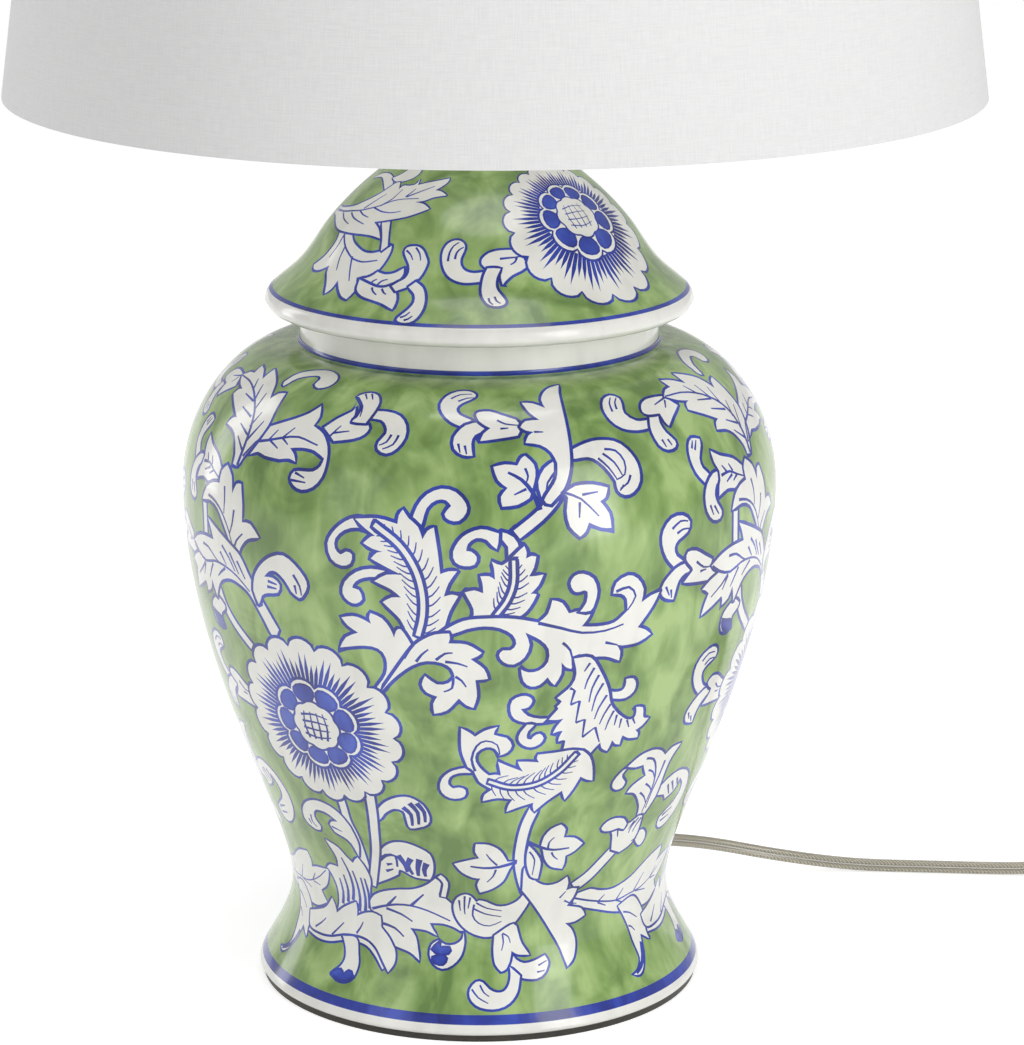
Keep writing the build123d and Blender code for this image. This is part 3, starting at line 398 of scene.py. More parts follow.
@dataclass
class Studio:
    """The photograph's viewpoint, a plain white floor and soft lamps. Lengths in metres."""

    camera_y: float = -1.5328
    camera_z: float = 0.5862
    pitch: float = 0.255287
    lens: float = 139.39
    shift: float = 0.0319
    floor_size: float = 14.0
    world_level: float = 0.55
    floor_glow: float = 0.50

    def build(self) -> None:
        """Makes the camera, the floor, the lamps and the world."""
        self.camera()
        self.floor()
        self.world()
        # name, place, aim, width, height, watts
        self.lamp("key_softbox", (1.15, -1.25, 0.62), (0, 0, 0.25), 0.62, 1.5, 11)
        self.lamp("fill_softbox", (-1.5, -1.3, 0.75), (0, 0, 0.3), 0.8, 1.2, 2.5)
        self.lamp("rim_softbox", (-1.25, 0.75, 0.6), (0, 0, 0.25), 0.3, 1.2, 3)
        self.lamp("top_softbox", (0.1, -0.5, 1.9), (0, 0, 0.3), 1.3, 1.0, 12)

    def camera(self) -> None:
        """Places the camera on the lamp's axis, with the frame's small shift to the right."""
        data = bpy.data.cameras.new("photo_camera")
        data.sensor_width = 36.0
        data.sensor_fit = "HORIZONTAL"
        data.lens = self.lens
        data.shift_x = self.shift
        data.clip_start = 0.05
        data.clip_end = 40.0
        camera = bpy.data.objects.new("photo_camera", data)
        camera.location = (0.0, self.camera_y, self.camera_z)
        camera.rotation_euler = (math.pi / 2 - self.pitch, 0.0, 0.0)
        bpy.context.scene.collection.objects.link(camera)
        bpy.context.scene.camera = camera

    def floor(self) -> None:
        """Makes the floor, which keeps the lamp's shadow and looks white to the camera."""
        shader = Shader("studio_floor")
        shader.set(
            Base_Color=shader.blend(
                shader.noise(3.0), linear(236, 236, 235), linear(240, 240, 239)
            ),
            Roughness=0.8,
        )
        seen = self.seen(shader)
        strength = shader.math("MULTIPLY", seen, self.floor_glow)
        glow = shader.add("ShaderNodeEmission", {"Strength": strength})
        both = {0: shader.surface.outputs[0], 1: glow.outputs[0]}
        total = shader.add("ShaderNodeAddShader", both)
        shader.tree.links.new(total.outputs[0], shader.output.inputs["Surface"])
        half = self.floor_size / 2
        corners = [(-half, -half, 0), (half, -half, 0), (half, half, 0), (-half, half, 0)]
        mesh_object("studio_floor", corners, [(0, 1, 2, 3)], [shader.material], False)

    def seen(self, shader: Shader) -> bpy.types.NodeSocket:
        """1 on rays by which the camera sees a surface, straight or in gloss or glass, else 0."""
        path = shader.add("ShaderNodeLightPath").outputs
        both = shader.math("ADD", path["Is Camera Ray"], path["Is Glossy Ray"])
        return shader.math("MINIMUM", shader.math("ADD", both, path["Is Transmission Ray"]), 1.0)

    def world(self) -> None:
        """Lights the room evenly, and shows white behind the floor."""
        world = bpy.data.worlds.new("studio_world")
        world.use_nodes = True
        bpy.context.scene.world = world
        tree = world.node_tree
        tree.nodes.clear()
        path = tree.nodes.new("ShaderNodeLightPath")
        level = tree.nodes.new("ShaderNodeMapRange")
        level.inputs["To Min"].default_value = self.world_level
        level.inputs["To Max"].default_value = 1.0
        sky = tree.nodes.new("ShaderNodeBackground")
        sky.inputs["Color"].default_value = (1.0, 1.0, 1.0, 1.0)
        output = tree.nodes.new("ShaderNodeOutputWorld")
        tree.links.new(path.outputs["Is Camera Ray"], level.inputs["Value"])
        tree.links.new(level.outputs[0], sky.inputs["Strength"])
        tree.links.new(sky.outputs[0], output.inputs["Surface"])

    def lamp(self, name: str, place, aim, width: float, height: float, watts: float) -> None:
        """Makes one soft rectangular lamp.

        Args:
            name: Its name.
            place: Where it stands.
            aim: The point that it faces.
            width: Its width.
            height: Its height.
            watts: Its power.
        """
        data = bpy.data.lights.new(name, "AREA")
        data.shape = "RECTANGLE"
        data.size = width
        data.size_y = height
        data.energy = watts
        lamp = bpy.data.objects.new(name, data)
        lamp.location = place
        lamp.rotation_euler = (Vector(aim) - Vector(place)).to_track_quat("-Z", "Y").to_euler()
        bpy.context.scene.collection.objects.link(lamp)


# --- Cord ----------------------------------------------------------------------------------


class RoundSweep:
    """A Geometry Nodes tree that runs a round, capped tube along a line of edges."""

    def __init__(self) -> None:
        """Builds the tree, with the line, radius, sides and material as its inputs."""
        self.tree = bpy.data.node_groups.new("round_sweep", "GeometryNodeTree")
        kinds = {"Line": "Geometry", "Radius": "Float", "Sides": "Int", "Material": "Material"}
        for name, kind in kinds.items():
            self.tree.interface.new_socket(name, in_out="INPUT", socket_type=f"NodeSocket{kind}")
        self.tree.interface.new_socket("Tube", in_out="OUTPUT", socket_type="NodeSocketGeometry")
        given, route, circle, tube, smooth_tube, whole, coated, result = [
            self.tree.nodes.new(kind)
            for kind in (
                "NodeGroupInput",
                "GeometryNodeMeshToCurve",
                "GeometryNodeCurvePrimitiveCircle",
                "GeometryNodeCurveToMesh",
                "GeometryNodeSetShadeSmooth",
                "GeometryNodeRealizeInstances",
                "GeometryNodeSetMaterial",
                "NodeGroupOutput",
            )
        ]
        tube.inputs["Fill Caps"].default_value = True
        for source, output, target, entry in (
            (given, "Line", route, "Mesh"),
            (given, "Sides", circle, "Resolution"),
            (given, "Radius", circle, "Radius"),
            (route, "Curve", tube, "Curve"),
            (circle, "Curve", tube, "Profile Curve"),
            (tube, "Mesh", smooth_tube, "Geometry"),
            (smooth_tube, "Geometry", whole, "Geometry"),
            (whole, "Geometry", coated, "Geometry"),
            (given, "Material", coated, "Material"),
            (coated, "Geometry", result, "Tube"),
        ):
            self.tree.links.new(source.outputs[output], target.inputs[entry])

    def run(self, name: str, line, radius: float, sides: int, material) -> bpy.types.Object:
        """Runs the tree along one line.

        Args:
            name: The piece's name.
            line: The points it follows, in metres.
            radius: The tube's radius, in metres.
            sides: Corners on its section.
            material: Its finish.

        Returns:
            The tube, as a plain mesh.
        """
        mesh = bpy.data.meshes.new(f"{name}_line")
        mesh.from_pydata([tuple(p) for p in line], [(k, k + 1) for k in range(len(line) - 1)], [])
        holder = bpy.data.objects.new(f"{name}_line", mesh)
        bpy.context.scene.collection.objects.link(holder)
        modifier = holder.modifiers.new("round_sweep", "NODES")
        modifier.node_group = self.tree
        values = {"Radius": radius, "Sides": sides, "Material": material}
        for socket in self.tree.interface.items_tree:
            if socket.in_out == "INPUT" and socket.name in values:
                modifier[socket.identifier] = values[socket.name]
        bpy.context.view_layer.update()
        graph = bpy.context.evaluated_depsgraph_get()
        made = bpy.data.meshes.new_from_object(holder.evaluated_get(graph))
        bpy.data.objects.remove(holder)
        piece = bpy.data.objects.new(name, made)
        bpy.context.scene.collection.objects.link(piece)
        return outward(piece)


def sideways(line, number: int) -> tuple[Vector, Vector]:
    """Unit vectors across and up from a line at one of its points."""
    heading = line[min(number + 1, len(line) - 1)] - line[max(number - 1, 0)]
    return square_to(heading.normalized())


def square_to(heading: Vector) -> tuple[Vector, Vector]:
    """Unit vectors level across a heading, and up from both."""
    across = heading.cross(Vector((0, 0, 1))).normalized()
    return across, across.cross(heading)


def nurbs(name: str, controls, resolution: int, **bevel) -> bpy.types.Mesh:
    """Makes the mesh of a smooth line.

    Args:
        name: The line's name.
        controls: Its control points, in metres.
        resolution: Mesh points between two of them.
        bevel: Curve settings that make it a tube.

    Returns:
        The line or the tube, as a plain mesh.
    """
    data = bpy.data.curves.new(name, "CURVE")
    data.dimensions = "3D"
    data.resolution_u = resolution
    for setting, value in bevel.items():
        setattr(data, setting, value)
    spline = data.splines.new("NURBS")
    spline.points.add(len(controls) - 1)
    for point, place in zip(spline.points, controls):
        point.co = (*place, 1.0)
    spline.order_u = 3
    spline.use_endpoint_u = True
    route = bpy.data.objects.new(name, data)
    bpy.context.scene.collection.objects.link(route)
    bpy.context.view_layer.update()
    graph = bpy.context.evaluated_depsgraph_get()
    mesh = bpy.data.meshes.new_from_object(route.evaluated_get(graph))
    bpy.data.objects.remove(route)
    return mesh


@dataclass
class Cord:
    """The clear twin-lobed mains lead: out behind the foot, across the floor and into a coil.

    Sizes are in millimetres, as in the model's source, and the length is in metres.
    """

    width: float = 5.6
    lobe_radius: float = 1.5
    lobe_centre: float = 1.3
    conductor_radius: float = 0.85
    conductor_sides: int = 8
    exit_angle: float = 50.0
    exit_radius: float = 85.0
    exit_z: float = 23.2
    run: tuple = (
        (72.6, 86.6, 23.2),
        (100.0, 101.0, 16.0),
        (130.0, 108.0, 7.8),
        (163.0, 109.5, 2.8),
        (196.0, 107.0, 2.8),
        (224.0, 104.6, 2.9),
        (241.0, 103.6, 3.3),
        (259.0, 109.7, 3.8),
        (271.0, 121.7, 3.8),
    )
    inner_radius: float = 22.0
    climb_inset: float = 1.5
    half_turn_step: float = 3.25
    low_half_turns: int = 7
    entry_angle: float = 135.0
    low_z: float = 3.8
    high_z: float = 10.2
    tail: float = 24.0
    points_per_half_turn: int = 8
    length: float = 1.795
    relief_length: int = 24
    relief_radius: float = 4.6
    relief_taper: float = 1.1
    relief_groove: float = 0.28
    relief_bore: float = 3.05
    relief_plain: int = 5
    relief_sides: int = 24
    lead_radius: float = 2.6

    @property
    def exit(self) -> Vector:
        """Where the lead leaves the bushing."""
        level = self.outwards * self.exit_radius
        return Vector((level.x, level.y, self.exit_z))

    @property
    def outwards(self) -> Vector:
        """The level direction from the lamp's axis to the bushing."""
        turn = math.radians(self.exit_angle)
        return Vector((math.cos(turn), math.sin(turn), 0))

    def radius(self, step: float) -> float:
        """The coil's radius after a number of half turns."""
        outer = self.inner_radius + self.low_half_turns * self.half_turn_step
        if step <= self.low_half_turns:
            return outer - step * self.half_turn_step
        climbed = step - self.low_half_turns - 1
        if climbed <= 0:
            return self.inner_radius - self.climb_inset
        return self.inner_radius + climbed * self.half_turn_step

    def coil(self) -> list[Vector]:
        """The coil's control points: wound inwards below, then outwards on top."""
        count = self.points_per_half_turn
        swell = 1 / math.cos(math.pi / (2 * count))
        start = math.radians(self.entry_angle)
        outer = self.radius(0)
        centre = Vector(self.run[-1]) - Vector((math.cos(start), math.sin(start), 0)) * outer
        points = []
        for number in range(2, (2 * self.low_half_turns + 1) * count + 1):
            step = number / count
            whole = int(step)
            share = step - whole
            radius = self.radius(whole) * (1 - share) + self.radius(whole + 1) * share
            turn = start - math.pi * step
            climb = min(max(step - self.low_half_turns, 0.0), 1.0)
            height = self.low_z + (self.high_z - self.low_z) * climb
            points.append(
                Vector(
                    (
                        centre.x + radius * swell * math.cos(turn),
                        centre.y + radius * swell * math.sin(turn),
                        height,
                    )
                )
            )
        turn = start - math.pi * (2 * self.low_half_turns + 1)
        heading = Vector((math.sin(turn), -math.cos(turn), 0))
        last = Vector(
            (
                centre.x + self.radius(2 * self.low_half_turns + 1) * math.cos(turn),
                centre.y + self.radius(2 * self.low_half_turns + 1) * math.sin(turn),
                self.high_z,
            )
        )
        points[-1] = last
        points += [last + heading * self.tail * 0.5, last + heading * self.tail]
        return points

    def centreline(self) -> list[Vector]:
        """The smooth line that the lead follows, read from its NURBS spline, in metres."""
        controls = [self.exit] + [Vector(p) for p in self.run] + self.coil()
        line = nurbs("cord_route", [place * MM for place in controls], 8)
        points = [v.co.copy() for v in line.vertices]
        bpy.data.meshes.remove(line)
        return points

    def profile(self) -> list[tuple[float, float]]:
        """The twin-lobed section, with eleven points round each lobe, in millimetres."""
        waist = math.acos(-self.lobe_centre / self.lobe_radius * 0.96)
        steps = 10
        points = []
        for side in (1, -1):
            for number in range(steps + 1):
                turn = -waist + 2 * waist * number / steps
                across = self.lobe_radius * math.sin(turn)
                along = self.lobe_centre + self.lobe_radius * math.cos(turn)
                points.append((side * across, side * along))
        return points

    def sweep(self, name: str, line, section, materials) -> bpy.types.Object:
        """Sweeps a closed section along a line, upright, and closes its ends.

        Args:
            name: The piece's name.
            line: The points it follows, in metres.
            section: (across, up) pairs, in millimetres.
            materials: Its materials.

        Returns:
            The piece.
        """
        points, faces = [], []
        count = len(section)
        for number, place in enumerate(line):
            across, up = sideways(line, number)
            points += [place + (across * a + up * b) * MM for a, b in section]
        for ring in range(len(line) - 1):
            for number in range(count):
                following = (number + 1) % count
                low, high = ring * count, (ring + 1) * count
                faces.append((low + number, low + following, high + following, high + number))
        faces.append(tuple(reversed(range(count))))
        faces.append(tuple(range((len(line) - 1) * count, len(line) * count)))
        return outward(mesh_object(name, points, faces, materials))

    def beside(self, line, rise: float) -> list[Vector]:
        """The line moved a distance in millimetres towards one lobe of the section."""
        return [
            place + sideways(line, number)[1] * rise * MM for number, place in enumerate(line)
        ]

    def build(self) -> None:
        """Makes the lead, its two conductors and its strain relief, and dresses the plug."""
        jacket, strands, plug = self.finishes()
        line = self.centreline()
        tube = self.sweep("cord_jacket", line, self.profile(), [jacket])
        tool = RoundSweep()
        wires = [
            tool.run(
                f"cord_conductor_{number + 1}",
                self.beside(line, side * self.lobe_centre),
                self.conductor_radius * MM,
                self.conductor_sides,
                strands,
            )
            for number, side in enumerate((1, -1))
        ]
        relief = self.relief(line, plug)
        lead = self.lead(jacket)
        for piece in (tube, *wires, relief, lead):
            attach(piece, "base")
        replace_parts(tube, "cord_run", "cord_coil")
        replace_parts(lead, "cord_lead")
        dress("plug_body", plug)
        log.info("cord: %d points on its line", len(line))

    def relief(self, line, material) -> bpy.types.Object:
        """A tapered, ringed sleeve on the start of the free lead.

        Args:
            line: The lead's line, in metres.
            material: Its finish.

        Returns:
            The sleeve.
        """
        heading = (line[2] - line[0]).normalized()
        start = self.exit * MM
        profile = [(0, self.relief_bore)]
        for along in range(self.relief_length + 1):
            ringed = self.relief_plain < along < self.relief_length - 1 and along % 3
            groove = self.relief_groove if ringed else 0.0
            taper = self.relief_taper * along / self.relief_length
            profile.append((along, self.relief_radius - taper - groove))
        profile.append((self.relief_length, self.relief_bore))
        across, up = square_to(heading)
        points, faces = [], []
        sides, rings = self.relief_sides, len(profile)
        for along, radius in profile:
            for k in range(sides):
                turn = math.tau * k / sides
                side = across * math.cos(turn) + up * math.sin(turn)
                points.append(start + (heading * along + side * radius) * MM)
        for ring in range(rings):
            low, high = ring * sides, ((ring + 1) % rings) * sides
            for k in range(sides):
                following = (k + 1) % sides
                faces.append((low + k, low + following, high + following, high + k))
        return outward(mesh_object("cord_relief", points, faces, [material]))

    def lead(self, material) -> bpy.types.Object:
        """The stretch inside the foot and up the rod, as one smooth tube.

        Args:
            material: Its finish.

        Returns:
            The tube.
        """
        low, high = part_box("cord_lead")
        heading = self.outwards
        lowest = low.z + 0.0028
        controls = [
            self.exit * MM,
            heading * 0.064 + Vector((0, 0, self.exit_z * MM)),
            heading * 0.0352 + Vector((0, 0, lowest)),
            heading * 0.006 + Vector((0, 0, lowest)),
            Vector((0, 0, low.z + 0.010)),
            Vector((0, 0, low.z + 0.060)),
            Vector((0, 0, high.z)),
        ]
        tube = {"bevel_depth": self.lead_radius * MM, "bevel_resolution": 4, "use_fill_caps": True}
        mesh = nurbs("cord_lead_tube", controls, 12, **tube)
        mesh.materials.clear()
        mesh.materials.append(material)
        piece = bpy.data.objects.new("cord_lead_tube", mesh)
        bpy.context.scene.collection.objects.link(piece)
        return outward(piece)

    def finishes(self) -> tuple[bpy.types.Material, bpy.types.Material, bpy.types.Material]:
        """The clear jacket, the tinned strands in it and the moulded clear plug."""
        jacket = Shader("clear_cord_jacket")
        haze = jacket.noise(700, 3)
        jacket.set(
            Base_Color=jacket.blend(haze, linear(232, 228, 216), linear(244, 242, 234)),
            Roughness=jacket.scaled(haze, 0.08, 0.2),
            IOR=1.47,
            Transmission_Weight=0.82,
            Normal=jacket.raised(haze, 0.3, 0.00005),
        )
        strands = Shader("tinned_strands")
        lay = strands.add(
            "ShaderNodeTexWave",
            {"Vector": strands.place(), "Scale": 420.0, "Distortion": 2.0, "Detail": 2.0},
            bands_direction="DIAGONAL",
        ).outputs["Fac"]
        strands.set(
            Base_Color=strands.blend(lay, linear(148, 140, 122), linear(214, 208, 192)),
            Metallic=0.75,
            Roughness=0.4,
            Normal=strands.raised(lay, 0.5, 0.0001),
        )
        plug = Shader("clear_plug")
        cloud = plug.noise(260, 3)
        plug.set(
            Base_Color=plug.blend(cloud, linear(226, 223, 212), linear(240, 238, 230)),
            Roughness=plug.scaled(cloud, 0.1, 0.22),
            IOR=1.5,
            Transmission_Weight=0.7,
            Normal=plug.raised(cloud, 0.2, 0.0001),
        )
        return jacket.material, strands.material, plug.material


def outward(piece: bpy.types.Object) -> bpy.types.Object:
    """Turns a closed piece's faces outwards.

    Args:
        piece: A mesh piece.

    Returns:
        The same piece.
    """
    shape = bmesh.new()
    shape.from_mesh(piece.data)
    bmesh.ops.recalc_face_normals(shape, faces=shape.faces)
    shape.to_mesh(piece.data)
    shape.free()
    return piece


# --- Painted ceramic -----------------------------------------------------------------------


class Tint(Enum):
    """The glaze's colours, by material slot."""

    GROUND = 0
    WHITE = 1
    COBALT = 2
    PETAL = 3


@dataclass(frozen=True)
class Patch:
    """One painted area of the unrolled surface and the width of the cobalt line round it."""

    outline: np.ndarray
    tint: Tint
    edge: float = 0.0


def smooth(points: np.ndarray, step: float = 2.2) -> np.ndarray:
    """Runs a smooth curve through points.

    Args:
        points: Rows of x, y.
        step: The distance between the points returned.

    Returns:
        Points along the curve, both ends included.
    """
    if len(points) == 2:
        return points
    ends = np.vstack([2 * points[0] - points[1], points, 2 * points[-1] - points[-2]])
    curve = []
    for a, b, c, d in zip(ends, ends[1:], ends[2:], ends[3:]):
        count = max(2, round(float(np.hypot(*(c - b))) / step))
        t = (np.arange(count) / count)[:, None]
        square = (2 * a - 5 * b + 4 * c - d) * t**2
        cube = (3 * b - a - 3 * c + d) * t**3
        curve.append(0.5 * (2 * b + (c - a) * t + square + cube))
    return np.vstack([*curve, points[-1:]])


def parsed(text: str) -> list[np.ndarray]:
    """Reads "x,y x,y | x,y ..." into one array a side."""
    return [
        np.array([[float(n) for n in pair.split(",")] for pair in side.split()])
        for side in text.split("|")
    ]


def normals_of(line: np.ndarray, closed: bool) -> np.ndarray:
    """Unit vectors to the left of each point of a line."""
    if closed:
        ahead, behind = np.roll(line, -1, 0), np.roll(line, 1, 0)
    else:
        ahead, behind = np.vstack([line[1:], line[-1:]]), np.vstack([line[:1], line[:-1]])
    along = ahead - behind
    along /= np.maximum(np.hypot(along[:, 0], along[:, 1]), 1e-9)[:, None]
    return np.column_stack([-along[:, 1], along[:, 0]])


def inside(outline: np.ndarray, points: np.ndarray) -> np.ndarray:
    """Which points lie inside a closed outline."""
    x, y = points[:, 0][:, None], points[:, 1][:, None]
    a, b = outline, np.roll(outline, -1, 0)
    crosses = (a[:, 1] > y) != (b[:, 1] > y)
    rise = b[:, 1] - a[:, 1]
    at = a[:, 0] + (y - a[:, 1]) * (b[:, 0] - a[:, 0]) / np.where(rise == 0, 1e-12, rise)
    return (crosses & (x < at)).sum(1) % 2 == 1


def distance(outline: np.ndarray, points: np.ndarray) -> np.ndarray:
    """How far each point lies from a closed outline."""
    a, b = outline, np.roll(outline, -1, 0)
    run = b - a
    length = np.maximum((run**2).sum(1), 1e-12)
    offset = points[:, None] - a
    share = np.clip((offset * run).sum(2) / length, 0, 1)
    gap = offset - share[..., None] * run
    return np.sqrt((gap**2).sum(2)).min(1)


@dataclass(frozen=True)
class Flower:
    """The proportions of a round painted flower, as shares of its radius."""

    rim_valley: float = 0.9
    hatch_start: float = 0.52
    hatch_long: float = 0.9
    hatch_short: float = 0.8
    hatch_uneven: float = 0.06
    hatch_width: float = 0.021
    ring_valley: float = 0.46
    ring_peak: float = 0.545
    petal_middle: float = 0.385
    petal_half_length: float = 0.095
    petal_half_width: float = 0.112
    petal_flare: float = 0.3
    heart_valley: float = 0.255
    heart_peak: float = 0.29
    heart_lobes: int = 8
    heart_lean: float = 0.4
    fine_edge: float = 0.8
    lattice_reach: float = 0.17
    lattice_step: float = 0.078
    lattice_bow: float = 0.25


class Brush:
    """Paints a repeating pattern on an unrolled surface, later strokes over earlier ones.

    Its sizes are in drawing units, of which a radian round the pot has 100.
    """

    FLOWER = Flower()
    POINT_STEP = 5.0
    ROW_OFFSET = 0.37
    SEAM_STEP = 4
    COLUMN_STEP = 4.3
    LEAST_COLUMNS = 24
    WELD = 1e-4
    EDGE_MARGIN = 1.01

    def __init__(self, pitch: float, line: float, weight: float) -> None:
        """Starts an empty pattern.

        Args:
            pitch: The width of one repeat, in drawing units.
            line: The width of a cobalt outline.
            weight: How much heavier the lines inside a form are drawn than written.
        """
        self.pitch = pitch
        self.line = line
        self.weight = weight
        self.patches: list[Patch] = []

    def add(self, outline: np.ndarray, tint: Tint, edge: float = 0.0) -> None:
        """Adds an area to every repeat that it reaches."""
        self.patches.append(Patch(outline, tint, edge))

    def draw(self, text: str) -> None:
        """Paints a drawing, of which each line is a stroke: kind and sizes, then points.

        An indented line goes on with the stroke above it.
        """
        for line in text.strip().replace("\n ", " ").splitlines():
            head, _, points = line.partition(" ")
            sizes = [float(size) for size in head[1:].split(",") if size]
            match head[0]:
                case "F":
                    self.form(points)
                case "P":
                    self.form(points, Tint.PETAL)
                case "V":
                    self.vein(points, *sizes)
                case "S":
                    self.stem(points, *sizes)
                case "H":
                    self.feather(points, sizes[0], int(sizes[1]))
                case "B":
                    x, y = parsed(points)[0][0]
                    self.blossom(x, y, sizes[0], *(int(count) for count in sizes[1:]))

    def form(self, text: str, tint: Tint = Tint.WHITE) -> None:
        """Paints an outlined area, written as sides that begin at its corners."""
        sides = parsed(text)
        loops = []
        for number, side in enumerate(sides):
            following = sides[(number + 1) % len(sides)][:1]
            whole = side if np.allclose(side[-1], following) else np.vstack([side, following])
            loops.append(smooth(whole)[:-1])
        self.add(np.vstack(loops), tint, self.line)

    def vein(self, text: str, width: float = 0.9) -> None:
        """Paints tapered lines, one for each side in the text."""
        for side in parsed(text):
            line = smooth(side, 3.5)
            taper = np.linspace(width / 2, width / 4, len(line))[:, None] * self.weight
            left = normals_of(line, False) * taper
            self.add(np.vstack([line + left, (line - left)[::-1]]), Tint.COBALT)

    def stem(self, text: str, width: float) -> None:
        """Paints an outlined band along a line."""
        line = smooth(parsed(text)[0])
        left = normals_of(line, False) * width / 2
        self.add(np.vstack([line + left, (line - left)[::-1]]), Tint.WHITE, self.line)

    def feather(self, text: str, reach: float, count: int, width: float = 0.6) -> None:
        """Paints hatch lines on both sides of a middle line, with the line itself."""
        line = smooth(parsed(text)[0], 0.7)
        left = normals_of(line, False)
        self.vein(text, 1.0)
        for number in range(count):
            share = (number + 0.7) / count
            index = min(int(share * (len(line) - 1)), len(line) - 2)
            along = line[index + 1] - line[index]
            along /= np.hypot(*along)
            size = reach * math.sin(math.pi * min(0.25 + 0.72 * share, 0.97)) ** 0.7
            for side in (1, -1):
                tip = line[index] + side * left[index] * size * 0.8 + along * size * 0.62
                middle = line[index] + side * left[index] * size * 0.45 + along * size * 0.2
                stroke = np.array([line[index], middle, tip])
                self.vein(" ".join(f"{x:.2f},{y:.2f}" for x, y in stroke), width)

    def ring(
        self, x: float, y: float, inner: float, outer: float, lobes: int, lean: float = 0.0
    ) -> np.ndarray:
        """A scalloped closed outline whose lobes swing between two radii."""
        turns = np.linspace(0, math.tau, lobes * 7, endpoint=False)
        swell = np.abs(np.sin((turns - lean) * lobes / 2)) ** 0.6
        radius = inner + (outer - inner) * swell
        return np.column_stack([x + radius * np.cos(turns), y + radius * np.sin(turns)])

    def blossom(self, x: float, y: float, size: float, lobes: int = 18, petals: int = 9) -> None:
        """Paints a round flower: scalloped edge, hatched ring, blue petals and a lattice heart.

        Args:
            x, y: Its middle.
            size: Its outer radius.
            lobes: Scallops on its edge.
            petals: Blue petals in its ring.
        """
        flower = self.FLOWER
        self.add(self.ring(x, y, size * flower.rim_valley, size, lobes), Tint.WHITE, self.line)
        self.hatch(x, y, size, lobes * 4)
        valley, peak = size * flower.ring_valley, size * flower.ring_peak
        self.add(self.ring(x, y, valley, peak, petals), Tint.WHITE, self.line)
        for number in range(petals):
            turn = math.tau * (number + 0.5) / petals
            self.add(self.petal(x, y, size, turn), Tint.PETAL, self.line * flower.fine_edge)
        valley, peak = size * flower.heart_valley, size * flower.heart_peak
        heart = self.ring(x, y, valley, peak, flower.heart_lobes, flower.heart_lean)
        self.add(heart, Tint.WHITE, self.line * flower.fine_edge)
        reach = size * flower.lattice_reach
        for number in (-1.5, -0.5, 0.5, 1.5):
            step = number * size * flower.lattice_step
            bow = flower.lattice_bow * size * flower.lattice_step * number
            self.vein(f"{x + step},{y - reach} {x + step + bow},{y} {x + step},{y + reach}")
            self.vein(f"{x - reach},{y + step} {x},{y + step + bow} {x + reach},{y + step}")

    def hatch(self, x: float, y: float, size: float, count: int) -> None:
        """Paints pointed strokes outwards all round a flower, some long and some short."""
        flower = self.FLOWER
        rng = np.random.default_rng(7)
        middle = np.array([x, y])
        near, wide = size * flower.hatch_start, size * flower.hatch_width
        for number in range(count):
            turn = math.tau * (number + 0.5) / count
            share = flower.hatch_long if number % 4 in (1, 2) else flower.hatch_short
            far = size * share * (1 - flower.hatch_uneven * rng.random())
            way = np.array([math.cos(turn), math.sin(turn)])
            side = np.array([-way[1], way[0]]) * wide
            start, belly = middle + way * near, middle + way * (near + far) / 2
            stroke = [start - side, belly - side, middle + way * far, belly + side, start + side]
            self.add(np.array(stroke), Tint.COBALT)

    def petal(self, x: float, y: float, size: float, turn: float) -> np.ndarray:
        """The outline of one blue petal, which points away from the flower's middle."""
        flower = self.FLOWER
        turns = np.linspace(0, math.tau, 14, endpoint=False)
        along = size * (flower.petal_middle + flower.petal_half_length * np.cos(turns))
        swell = 1 + flower.petal_flare * np.cos(turns)
        across = size * flower.petal_half_width * np.sin(turns) * swell
        ahead = x + along * math.cos(turn) - across * math.sin(turn)
        up = y + along * math.sin(turn) + across * math.cos(turn)
        return np.column_stack([ahead, up])

    def panel(self, height: float, bands):
        """Cuts one repeat into triangles along every painted edge.

        Args:
            height: The surface's length up, in drawing units.
            bands: (low, high, tint) rings of plain colour, under the pattern.

        Returns:
            Points, triangles and each triangle's tint.
        """
        half = self.pitch / 2
        points: list = []
        edges: list = []

        def chain(line: np.ndarray, closed: bool) -> None:
            """Adds a line as edges that the triangles keep."""
            start = len(points)
            points.extend(line.tolist())
            count = len(line)
            last = count if closed else count - 1
            edges.extend((start + k, start + (k + 1) % count) for k in range(last))

